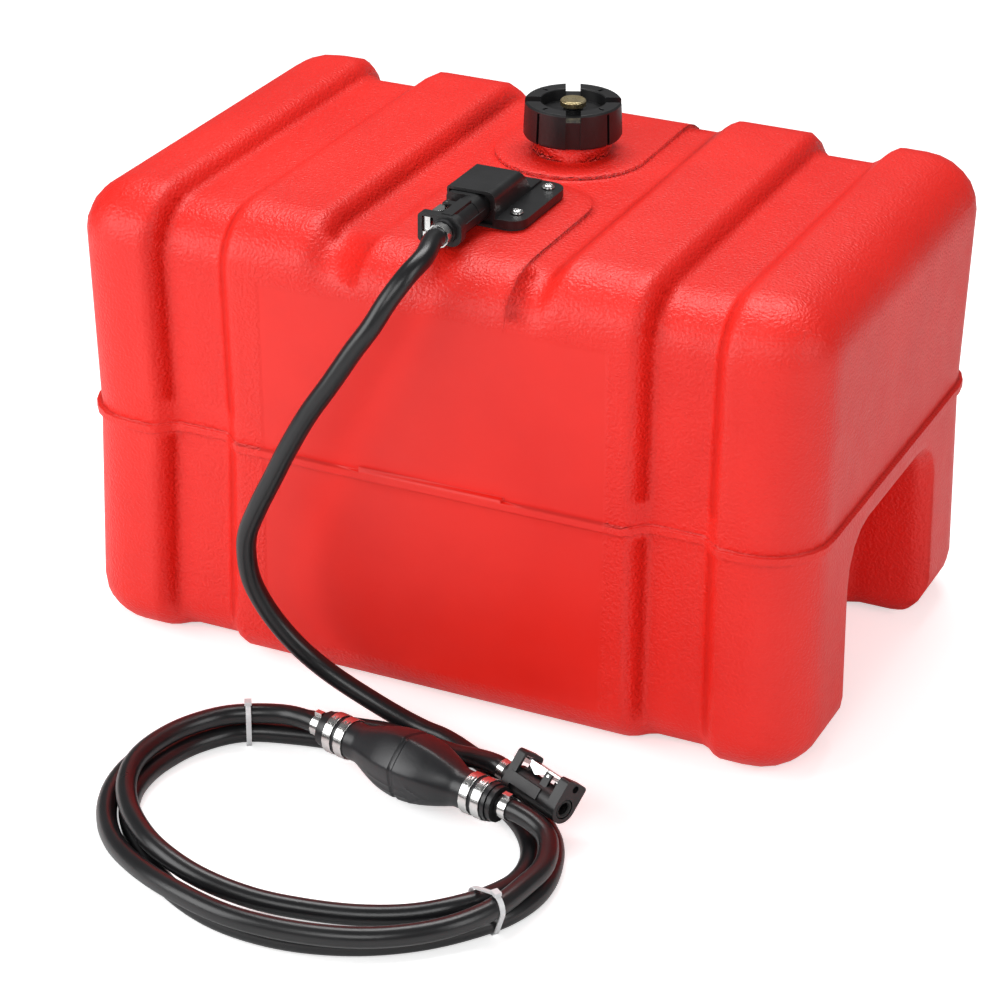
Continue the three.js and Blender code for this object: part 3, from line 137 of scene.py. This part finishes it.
engine_run_rows = [
    (0.05, -2.32, 0.074), (0.18, -2.345, 0.078), (0.34, -2.39, 0.098), (0.51, -2.46, 0.137),
    (0.66, -2.54, 0.19), (0.8, -2.605, 0.242),
]
coil_entry_row = (1.48, -3.19, 0.256)

fitting_reach = 0.0783
bulb_middle = Vector((0.45, -2.92, 0.27)) * route_length
bulb_direction = Vector((0.971, -0.24, 0)).normalized()
engine_direction = Vector((0.912, -0.407, -0.04)).normalized()
engine_mouth = Vector((1.59, -2.965, 0.262)) * route_length
connector_length = 0.05
hose_shoulder = 0.0038
engine_hose_end = engine_mouth - engine_direction * (connector_length + hose_shoulder)


def lead(end, direction, reaches):
    """Points on a straight lead, so many hose radii from its end."""
    return [end + direction * (hose_radius * n) for n in reaches]


first_coil = coil_run(first_coil_rows)
second_coil = coil_run(second_coil_rows)
start_direction = (first_coil[1] - first_coil[0]).normalized()
end_direction = (second_coil[-1] - second_coil[-2]).normalized()
coil_start = first_coil[0] - start_direction * hose_radius * 2
coil_end = second_coil[-1] + end_direction * hose_radius * 2
tank_hose_start = Vector((0, -0.1527, 0.3522))
bulb_inlet_end = bulb_middle - bulb_direction * fitting_reach
bulb_outlet_end = bulb_middle + bulb_direction * fitting_reach

tank_line = (lead(tank_hose_start, Vector((0, -1, 0)), (0, 1, 2))
             + [Vector(row) * route_length for row in hanging_rows]
             + lead(coil_start, start_direction, (-2, -1, 0)) + first_coil
             + lead(bulb_inlet_end, bulb_direction, (-2, -1, 0)))
engine_line = (lead(bulb_outlet_end, bulb_direction, (0, 1, 2))
               + [Vector(coil_entry_row) * route_length]
               + second_coil + lead(coil_end, end_direction, (-1, 0, 2))
               + [Vector(row) * route_length for row in engine_run_rows]
               + lead(engine_hose_end, engine_direction, (-2, -1, 0)))


def smooth_line(points, per=6):
    """Points of a centripetal spline through the given ones."""
    least_step = 1e-6
    row = [points[0] * 2 - points[1]] + list(points) + [points[-1] * 2 - points[-2]]
    line = []
    for n in range(1, len(row) - 2):
        p0, p1, p2, p3 = row[n - 1:n + 3]
        d0, d1, d2 = [math.sqrt(max((b - a).length, least_step))
                      for a, b in ((p0, p1), (p1, p2), (p2, p3))]
        m1 = ((p1 - p0) / d0 - (p2 - p0) / (d0 + d1) + (p2 - p1) / d1) * d1
        m2 = ((p2 - p1) / d1 - (p3 - p1) / (d1 + d2) + (p3 - p2) / d2) * d1
        for k in range(per):
            t = k / per
            line.append(p1 * (2 * t**3 - 3 * t**2 + 1) + m1 * (t**3 - 2 * t**2 + t)
                        + p2 * (-2 * t**3 + 3 * t**2) + m2 * (t**3 - t**2))
    line.append(points[-1])
    return line


def hose_piece(name, line):
    """A round hose along the line, with closed ends."""
    quarter_steps = 8
    curve = bpy.data.curves.new(name, "CURVE")
    curve.dimensions = "3D"
    curve.bevel_depth = hose_radius
    curve.bevel_resolution = quarter_steps
    curve.use_fill_caps = True
    spline = curve.splines.new("POLY")
    spline.points.add(len(line) - 1)
    for point, place in zip(spline.points, line):
        point.co = (*place, 1)
    spline.use_smooth = True
    piece = bpy.data.objects.new(name, curve)
    bpy.context.scene.collection.objects.link(piece)
    return piece


def new_material(name, colour, roughness, **inputs):
    material = bpy.data.materials.new(name)
    material.use_nodes = True
    shader = material.node_tree.nodes["Principled BSDF"]
    shader.inputs["Base Color"].default_value = (*colour, 1)
    shader.inputs["Roughness"].default_value = roughness
    for socket, value in inputs.items():
        shader.inputs[socket.replace("_", " ")].default_value = value
    return material, shader


def add_node(material, kind, **values):
    node = material.node_tree.nodes.new(kind)
    for key, value in values.items():
        if key in node.inputs:
            node.inputs[key].default_value = value
        else:
            setattr(node, key, value)
    return node


def link(material, a, b):
    material.node_tree.links.new(a, b)


def grain(material, shader, scale, strength, distance):
    """A fine moulded grain: noise on Object coordinates into a bump."""
    place = add_node(material, "ShaderNodeTexCoord")
    noise = add_node(material, "ShaderNodeTexNoise", Scale=scale, Detail=3.0)
    bump = add_node(material, "ShaderNodeBump", Strength=strength, Distance=distance)
    link(material, place.outputs["Object"], noise.inputs["Vector"])
    link(material, noise.outputs["Fac"], bump.inputs["Height"])
    link(material, bump.outputs["Normal"], shader.inputs["Normal"])
    return place


def tint(material, shader, place, dark, light, scale):
    """Slow colour variation between two near tones."""
    all_dark, all_light = 0.35, 0.65
    noise = add_node(material, "ShaderNodeTexNoise", Scale=scale, Detail=4.0)
    ramp = add_node(material, "ShaderNodeValToRGB")
    ramp.color_ramp.elements[0].position = all_dark
    ramp.color_ramp.elements[1].position = all_light
    ramp.color_ramp.elements[0].color = (*dark, 1)
    ramp.color_ramp.elements[1].color = (*light, 1)
    link(material, place.outputs["Object"], noise.inputs["Vector"])
    link(material, noise.outputs["Fac"], ramp.inputs["Fac"])
    link(material, ramp.outputs["Color"], shader.inputs["Base Color"])


def shine(material, shader, place, low, high, scale):
    """Roughness that wanders between two values."""
    noise = add_node(material, "ShaderNodeTexNoise", Scale=scale, Detail=5.0)
    spread = add_node(material, "ShaderNodeMapRange")
    spread.inputs["To Min"].default_value = low
    spread.inputs["To Max"].default_value = high
    link(material, place.outputs["Object"], noise.inputs["Vector"])
    link(material, noise.outputs["Fac"], spread.inputs["Value"])
    link(material, spread.outputs["Result"], shader.inputs["Roughness"])


hose_rubber, shader = new_material("hose_rubber", (0.028, 0.028, 0.031), 0.36)
place = grain(hose_rubber, shader, 900.0, 0.12, 0.0004)
tint(hose_rubber, shader, place, (0.006, 0.006, 0.007), (0.011, 0.011, 0.012), 14.0)
shine(hose_rubber, shader, place, 0.24, 0.36, 40.0)

tank_hose_line = smooth_line(tank_line)
engine_hose_line = smooth_line(engine_line)
tank_fuel_hose = hose_piece("tank_fuel_hose", tank_hose_line)
engine_fuel_hose = hose_piece("engine_fuel_hose", engine_hose_line)
for piece, replaced in ((tank_fuel_hose, ("tank_hose", "tank_hose_coil")),
                        (engine_fuel_hose, ("engine_hose_coil", "engine_hose"))):
    piece.data.materials.append(hose_rubber)
    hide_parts(*replaced)
    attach(piece, "tank")


# Tank: blow-moulded red polyethylene with a pebbled skin all over except on the bare smooth
# panels at the front and back. The moulding flange runs round it at half height.
tank_red, shader = new_material("tank_red", (0.82, 0.016, 0.009), 0.42)
place = add_node(tank_red, "ShaderNodeTexCoord")
split = add_node(tank_red, "ShaderNodeSeparateXYZ")
link(tank_red, place.outputs["Object"], split.inputs[0])


def within(material, value, low, high, soft):
    """1 between low and high, fading to 0 over soft on both sides."""
    rise = add_node(material, "ShaderNodeMapRange", interpolation_type="SMOOTHSTEP")
    fall = add_node(material, "ShaderNodeMapRange", interpolation_type="SMOOTHSTEP")
    rise.inputs["From Min"].default_value = low - soft
    rise.inputs["From Max"].default_value = low
    fall.inputs["From Min"].default_value = high
    fall.inputs["From Max"].default_value = high + soft
    fall.inputs["To Min"].default_value = 1
    fall.inputs["To Max"].default_value = 0
    both = add_node(material, "ShaderNodeMath", operation="MULTIPLY")
    for n, node in enumerate((rise, fall)):
        link(material, value, node.inputs["Value"])
        link(material, node.outputs["Result"], both.inputs[n])
    return both.outputs[0]


panel_left, panel_right, panel_side_fade = -0.124, 0.131, 0.004
panel_low, panel_high, panel_end_fade = 0.036, 0.3, 0.006
panel_x = within(tank_red, split.outputs["X"], panel_left, panel_right, panel_side_fade)
panel_z = within(tank_red, split.outputs["Z"], panel_low, panel_high, panel_end_fade)
panel = add_node(tank_red, "ShaderNodeMath", operation="MULTIPLY")
link(tank_red, panel_x, panel.inputs[0])
link(tank_red, panel_z, panel.inputs[1])
pebbled = add_node(tank_red, "ShaderNodeMath", operation="SUBTRACT")
pebbled.inputs[0].default_value = 1
link(tank_red, panel.outputs[0], pebbled.inputs[1])
pebbles = add_node(tank_red, "ShaderNodeTexNoise", Scale=480.0, Detail=1.0, Roughness=0.5)
link(tank_red, place.outputs["Object"], pebbles.inputs["Vector"])
fine = add_node(tank_red, "ShaderNodeTexNoise", Scale=90.0, Detail=3.0)
link(tank_red, place.outputs["Object"], fine.inputs["Vector"])
pebble_height = add_node(tank_red, "ShaderNodeMath", operation="MULTIPLY")
link(tank_red, pebbles.outputs["Fac"], pebble_height.inputs[0])
link(tank_red, pebbled.outputs[0], pebble_height.inputs[1])
wave = add_node(tank_red, "ShaderNodeMath", operation="MULTIPLY")
wave_share = 0.12
wave.inputs[1].default_value = wave_share
link(tank_red, fine.outputs["Fac"], wave.inputs[0])
both_heights = add_node(tank_red, "ShaderNodeMath", operation="ADD")
link(tank_red, pebble_height.outputs[0], both_heights.inputs[0])
link(tank_red, wave.outputs[0], both_heights.inputs[1])
corner_radius = 0.011
seam_corner_radius = 0.0015
seam_low, seam_high, seam_fade = 0.172, 0.19, 0.008
near_seam = within(tank_red, split.outputs["Z"], seam_low, seam_high, seam_fade)
radius_here = add_node(tank_red, "ShaderNodeMapRange")
radius_here.inputs["To Min"].default_value = corner_radius
radius_here.inputs["To Max"].default_value = seam_corner_radius
rounded = add_node(tank_red, "ShaderNodeBevel", samples=12)
link(tank_red, near_seam, radius_here.inputs["Value"])
link(tank_red, radius_here.outputs["Result"], rounded.inputs["Radius"])
tank_bump = add_node(tank_red, "ShaderNodeBump", Strength=0.9, Distance=0.0009)
link(tank_red, rounded.outputs["Normal"], tank_bump.inputs["Normal"])
link(tank_red, both_heights.outputs[0], tank_bump.inputs["Height"])
link(tank_red, tank_bump.outputs["Normal"], shader.inputs["Normal"])
tint(tank_red, shader, place, (0.78, 0.011, 0.005), (0.85, 0.015, 0.007), 9.0)
shine(tank_red, shader, place, 0.38, 0.5, 60.0)


def finished_copy(node_name, piece_name, material, body, bevel=0.0, segments=2, angle=35):
    """The CAD node's shape with joined corners, small rounded edges and smooth shading."""
    merge_distance = 0.000004
    flat_angle = math.radians(0.6)
    piece = nodes[node_name].copy()
    piece.data = nodes[node_name].data.copy()
    piece.name = piece_name
    for key in list(piece.keys()):
        if key.startswith("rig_"):
            del piece[key]
    bpy.context.scene.collection.objects.link(piece)
    piece.parent = None
    piece.data.materials.clear()
    piece.data.materials.append(material)
    bpy.ops.object.select_all(action="DESELECT")
    piece.select_set(True)
    bpy.context.view_layer.objects.active = piece
    bpy.ops.object.mode_set(mode="EDIT")
    bpy.ops.mesh.select_all(action="SELECT")
    bpy.ops.mesh.remove_doubles(threshold=merge_distance)
    bpy.ops.mesh.dissolve_limited(angle_limit=flat_angle)
    bpy.ops.object.mode_set(mode="OBJECT")
    if bevel:
        rounding = piece.modifiers.new("rounding", "BEVEL")
        rounding.width = bevel
        rounding.segments = segments
        rounding.limit_method = "ANGLE"
        rounding.angle_limit = math.radians(angle)
        rounding.use_clamp_overlap = True
        bpy.ops.object.modifier_apply(modifier="rounding")
    bpy.ops.object.shade_smooth_by_angle(angle=math.radians(angle))
    weighted = piece.modifiers.new("weighted", "WEIGHTED_NORMAL")
    weighted.keep_sharp = True
    bpy.ops.object.modifier_apply(modifier="weighted")
    bpy.ops.object.select_all(action="DESELECT")
    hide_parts(node_name)
    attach(piece, body)
    return piece


finished_copy("tank_shell", "tank_moulding", tank_red, "tank", angle=36)

# Filler cap: moulded black nylon with four grip slots and a recess for the vent knob; its
# rubber ring and white liner are hidden inside.
black_plastic, shader = new_material("black_plastic", (0.022, 0.022, 0.024), 0.4)
place = grain(black_plastic, shader, 700.0, 0.16, 0.0003)
tint(black_plastic, shader, place, (0.006, 0.006, 0.0065), (0.011, 0.011, 0.012), 30.0)
shine(black_plastic, shader, place, 0.32, 0.46, 90.0)
finished_copy("filler_cap", "cap_moulding", black_plastic, "cap_shell",
              bevel=0.0007, segments=3, angle=30)
seal_rubber, shader = new_material("seal_rubber", (0.02, 0.02, 0.02), 0.75)
grain(seal_rubber, shader, 500.0, 0.2, 0.0003)
natural_plastic, shader = new_material("natural_plastic", (0.78, 0.77, 0.72), 0.45)
place = grain(natural_plastic, shader, 400.0, 0.1, 0.0002)
tint(natural_plastic, shader, place, (0.74, 0.73, 0.67), (0.82, 0.81, 0.77), 40.0)


def finish(material, *names):
    """Gives CAD nodes that are shown as they are their material."""
    for name in names:
        data = nodes[name].data
        data.materials.clear()
        data.materials.append(material)


finish(seal_rubber, "cap_gasket", "vent_seal", "flange_gasket", "tank_seal", "engine_seal")
finish(natural_plastic, "cap_liner", "pickup_tube", "pickup_strainer",
       "bulb_inlet_valve", "bulb_outlet_valve")

# Vent screw: a turned pale brass knob with a milled rim. Its stem is screwed through the
# cap, on a rubber washer.
brass, shader = new_material("brass", (0.72, 0.6, 0.36), 0.28, Metallic=1.0)
place = grain(brass, shader, 1200.0, 0.08, 0.0001)
tint(brass, shader, place, (0.78, 0.63, 0.34), (0.88, 0.75, 0.46), 120.0)
shine(brass, shader, place, 0.2, 0.36, 200.0)
finished_copy("vent_screw", "vent_knob_turned", brass, "vent_knob", bevel=0.0002, angle=30)
finish(brass, "tank_nipple", "tank_check_pin", "engine_check_pin")

# Fuel outlet: a moulded black flange with a hood over its brass nipple. It lies on a rubber
# gasket and is held by three steel screws with crossed recesses.
finished_copy("outlet_flange", "outlet_moulding", black_plastic, "tank",
              bevel=0.0006, segments=3, angle=30)
steel, shader = new_material("steel", (0.72, 0.72, 0.71), 0.22, Metallic=1.0)
place = grain(steel, shader, 1500.0, 0.06, 0.0001)
tint(steel, shader, place, (0.66, 0.66, 0.65), (0.78, 0.78, 0.77), 160.0)
shine(steel, shader, place, 0.14, 0.3, 260.0)
for n in (1, 2, 3):
    finished_copy(f"flange_screw_{n}", f"outlet_screw_{n}", steel, "tank", bevel=0.00025)
finish(steel, "guide_pin", "tank_latch_pin", "tank_latch_spring", "tank_check_spring",
       "engine_latch_pin", "engine_latch_spring", "engine_check_spring")

# Quick connectors: moulded black bodies, each with a bright steel latch and a steel clamp on
# the hose.
for end in ("tank", "engine"):
    finished_copy(f"{end}_connector", f"{end}_coupling", black_plastic, "tank",
                  bevel=0.0006, segments=3, angle=30)
    finished_copy(f"{end}_latch", f"{end}_latch_plate", steel, f"{end}_latch_arm",
                  bevel=0.0002)
    finished_copy(f"{end}_hose_clamp", f"{end}_hose_band", steel, "tank", bevel=0.0002)

# Primer bulb: a moulded black rubber bulb with six lengthwise edges, a groove round its
# middle and a raised arrow, held on a black fitting at each end by steel bands.
bulb_radius = 0.0247
neck_radius = 0.0134
neck_from = 0.044
neck_end = 0.072
bulb_wall = 0.0028
groove_depth = 0.0012
groove_half_width = 0.0022
groove_side_width = 0.0016
groove_floor_width = 0.0008
edge_pairs = 3
edge_turn = 0.9
flat_depth = 0.08
arrow_turn = 2.75
arrow_tail, arrow_neck, arrow_tip = -0.024, 0.012, 0.026
arrow_side_from, arrow_side_to = 0.07, 0.14
arrow_head_spread = 0.4
arrow_line_width = 0.1
arrow_rise = 0.022
spin_steps = 96
parts_per_span = 3
bulb_profile = [(1, 0), (0.97, 0.02), (0.93, 0.06), (0.88, 0.13), (0.82, 0.23), (0.76, 0.33),
                (0.69, 0.44), (0.61, 0.56), (0.52, 0.68), (0.43, 0.79), (0.34, 0.87),
                (0.25, 0.93), (0.16, 0.975), (0.09, 1)]
bulb_rubber, shader = new_material("bulb_rubber", (0.03, 0.031, 0.035), 0.34)
place = grain(bulb_rubber, shader, 600.0, 0.14, 0.0004)
tint(bulb_rubber, shader, place, (0.009, 0.0095, 0.011), (0.018, 0.0185, 0.021), 22.0)
shine(bulb_rubber, shader, place, 0.26, 0.42, 70.0)

half = [(neck_radius, neck_end)] + [
    (neck_radius + (bulb_radius - neck_radius) * rise, neck_from * along)
    for along, rise in bulb_profile]
groove = [(bulb_radius, groove_half_width), (bulb_radius - groove_depth / 2, groove_side_width),
          (bulb_radius - groove_depth, groove_floor_width)]
outside = (half + groove + [(bulb_radius - groove_depth, 0.0)]
           + [(r, -s) for r, s in reversed(half + groove)])
outline = [Vector(a).lerp(Vector(b), k / parts_per_span)
           for a, b in zip(outside, outside[1:]) for k in range(parts_per_span)]
outline.append(Vector(outside[-1]))
bulb_mesh = bpy.data.meshes.new("primer_bulb_moulding")
bulb_mesh.from_pydata([(r, 0, s) for r, s in outline], [(n, n + 1) for n in range(len(outline) - 1)], [])
bulb = bpy.data.objects.new("primer_bulb_moulding", bulb_mesh)
bpy.context.scene.collection.objects.link(bulb)
bulb.select_set(True)
bpy.context.view_layer.objects.active = bulb
bpy.ops.object.mode_set(mode="EDIT")
bpy.ops.mesh.select_all(action="SELECT")
bpy.ops.mesh.spin(steps=spin_steps, angle=math.tau, center=(0, 0, 0), axis=(0, 0, 1))
bpy.ops.mesh.select_all(action="SELECT")
bpy.ops.mesh.remove_doubles(threshold=0.00001)
bpy.ops.mesh.normals_make_consistent(inside=False)
bpy.ops.object.mode_set(mode="OBJECT")
for vertex in bulb_mesh.vertices:
    x, y, s = vertex.co
    r = math.hypot(x, y)
    fullness = max(0.0, (r - neck_radius) / (bulb_radius - neck_radius))
    turn = math.atan2(y, x)
    from_edge = abs(math.sin(turn * edge_pairs + edge_turn))
    factor = 1 - flat_depth * fullness * from_edge
    across = abs((turn + arrow_turn + math.pi) % math.tau - math.pi)
    head_half = arrow_head_spread * (arrow_tip - s) / (arrow_tip - arrow_neck)
    in_shaft = arrow_tail < s < arrow_neck and arrow_side_from < across < arrow_side_to
    in_head = arrow_neck <= s < arrow_tip and head_half - arrow_line_width < across < head_half
    if in_shaft or in_head:
        factor += arrow_rise
    vertex.co.x, vertex.co.y = x * factor, y * factor
wall = bulb.modifiers.new("wall", "SOLIDIFY")
wall.thickness = bulb_wall
wall.offset = -1
bpy.ops.object.modifier_apply(modifier="wall")
bulb_across = Vector((0, 0, 1)).cross(bulb_direction).normalized()
bulb_mesh.transform(Matrix.Translation(bulb_middle)
                    @ Matrix((bulb_across, Vector((0, 0, 1)), bulb_direction)).transposed().to_4x4())
bpy.ops.object.shade_smooth_by_angle(angle=math.radians(28))
bpy.ops.object.select_all(action="DESELECT")
bulb_mesh.materials.append(bulb_rubber)
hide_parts("primer_bulb")
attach(bulb, "tank")

for end in ("inlet", "outlet"):
    finished_copy(f"bulb_{end}_fitting", f"bulb_{end}_stub", black_plastic,
                                     "tank", bevel=0.0004, angle=30)
    for kind in ("band_1", "band_2", "ear_clamp"):
        finished_copy(f"bulb_{end}_{kind}", f"bulb_{end}_{kind}_strip", steel,
                                         "tank", bevel=0.0003)


def band_end(name, s, radius, width):
    """The overlapping punched end of a steel band, laid over its own strip."""
    reach = 0.75
    spin_steps = 12
    hole_pitch = reach / 2
    hole_from, hole_to = 0.14, 0.24
    sheet_thick = 0.0007
    mesh = bpy.data.meshes.new(name)
    mesh.from_pydata([(radius, 0, s - width / 2), (radius, 0, s + width / 2)], [(0, 1)], [])
    piece = bpy.data.objects.new(name, mesh)
    bpy.context.scene.collection.objects.link(piece)
    piece.select_set(True)
    bpy.context.view_layer.objects.active = piece
    bpy.ops.object.mode_set(mode="EDIT")
    bpy.ops.mesh.select_all(action="SELECT")
    bpy.ops.mesh.spin(steps=spin_steps, angle=reach, center=(0, 0, 0), axis=(0, 0, 1))
    bpy.ops.mesh.select_all(action="SELECT")
    bpy.ops.mesh.normals_make_consistent(inside=False)
    bpy.ops.mesh.subdivide(number_cuts=2)
    bpy.ops.object.mode_set(mode="OBJECT")
    work = bmesh.new()
    work.from_mesh(mesh)
    middles = [(face, face.calc_center_median()) for face in work.faces]
    holes = [face for face, middle in middles
             if abs(middle.z - s) < width / 5
             and hole_from < math.atan2(middle.y, middle.x) % hole_pitch < hole_to]
    bmesh.ops.delete(work, geom=holes, context="FACES")
    work.to_mesh(mesh)
    work.free()
    sheet = piece.modifiers.new("sheet", "SOLIDIFY")
    sheet.thickness = sheet_thick
    sheet.offset = 1
    bpy.ops.object.modifier_apply(modifier="sheet")
    mesh.transform(Matrix.Translation(bulb_middle)
                   @ Matrix((bulb_across, Vector((0, 0, 1)), bulb_direction)).transposed().to_4x4()
                   @ Matrix.Rotation(math.pi - reach, 4, "Z"))
    bpy.ops.object.shade_smooth_by_angle(angle=math.radians(35))
    bpy.ops.object.select_all(action="DESELECT")
    mesh.materials.append(steel)
    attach(piece, "tank")
    return piece


band_places = (0.055, 0.065)
band_end_radius = 0.01475
band_end_width = 0.0046
for side, sign in (("inlet", -1), ("outlet", 1)):
    for n, place_along in enumerate(band_places):
        band_end(f"bulb_{side}_band_end_{n + 1}", sign * place_along,
                                    band_end_radius, band_end_width)

# Ties: two white nylon cable ties hold the coil together, at the back and at the front.
tie_nylon, shader = new_material("tie_nylon", (0.72, 0.73, 0.75), 0.3, Transmission_Weight=0.25)
place = grain(tie_nylon, shader, 800.0, 0.1, 0.0002)
tint(tie_nylon, shader, place, (0.82, 0.83, 0.84), (0.9, 0.91, 0.92), 60.0)
ties = [finished_copy(f"coil_tie_{side}", f"cable_tie_{side}", tie_nylon, "tank",
                      bevel=0.0002)
        for side in ("rear", "front")]

# Floor: a white studio floor. The camera sees it a little brighter than it is, so that it
# fades into the white surround as in the photograph.
floor_white, shader = new_material("floor_white", (0.92, 0.92, 0.92), 0.7)
eye = add_node(floor_white, "ShaderNodeLightPath")
glow = add_node(floor_white, "ShaderNodeEmission", Strength=0.55)
mixer = add_node(floor_white, "ShaderNodeAddShader")
blank = add_node(floor_white, "ShaderNodeMixShader")
link(floor_white, shader.outputs[0], mixer.inputs[0])
link(floor_white, glow.outputs[0], mixer.inputs[1])
link(floor_white, eye.outputs["Is Camera Ray"], blank.inputs[0])
link(floor_white, shader.outputs[0], blank.inputs[1])
link(floor_white, mixer.outputs[0], blank.inputs[2])
floor_output = floor_white.node_tree.nodes["Material Output"]
link(floor_white, blank.outputs[0], floor_output.inputs["Surface"])
floor_size = 12
floor_drop = 0.0005
bpy.ops.mesh.primitive_plane_add(size=floor_size, location=(0, 0, -floor_drop))
floor = bpy.context.object
floor.name = "floor"
floor.data.materials.append(floor_white)
bpy.ops.object.select_all(action="DESELECT")

# Light: a weak white surround, which the camera sees as full white, and four large soft
# lamps above, to the left, to the right and in front.
surround_light = 0.17
surround_seen = 1
world = bpy.data.worlds.new("studio")
world.use_nodes = True
bpy.context.scene.world = world
surround = world.node_tree.nodes["Background"]
surround.inputs["Color"].default_value = (1, 1, 1, 1)
surround.inputs["Strength"].default_value = surround_light
white_surround = world.node_tree.nodes.new("ShaderNodeBackground")
white_surround.inputs["Strength"].default_value = surround_seen
seen = world.node_tree.nodes.new("ShaderNodeLightPath")
which = world.node_tree.nodes.new("ShaderNodeMixShader")
links = world.node_tree.links
links.new(seen.outputs["Is Camera Ray"], which.inputs[0])
links.new(surround.outputs[0], which.inputs[1])
links.new(white_surround.outputs[0], which.inputs[2])
links.new(which.outputs[0], world.node_tree.nodes["World Output"].inputs["Surface"])


def soft_lamp(name, place, aim, size, power):
    """A rectangular lamp that stands at a place and points at its aim."""
    data = bpy.data.lights.new(name, "AREA")
    data.shape = "RECTANGLE"
    data.size, data.size_y = size
    data.energy = power
    lamp = bpy.data.objects.new(name, data)
    bpy.context.scene.collection.objects.link(lamp)
    toward = (Vector(aim) - Vector(place)).to_track_quat("-Z", "Y")
    lamp.matrix_world = Matrix.Translation(place) @ toward.to_matrix().to_4x4()


soft_lamp("top_lamp", place=(-0.2, 0.5, 1.9), aim=(0, -0.05, 0.2), size=(1.3, 0.8), power=25)
soft_lamp("left_lamp", place=(-1.5, -1.6, 1.1), aim=(0, -0.1, 0.15), size=(1.6, 1.5), power=34)
soft_lamp("right_lamp", place=(2.0, -0.6, 1.0), aim=(0.1, 0, 0.15), size=(0.7, 1.3), power=11)
soft_lamp("front_lamp", place=(0.5, -2.2, 1.5), aim=(0.1, -0.1, 0.1), size=(1.3, 0.9), power=17)

bpy.context.scene.view_settings.view_transform = "Standard"
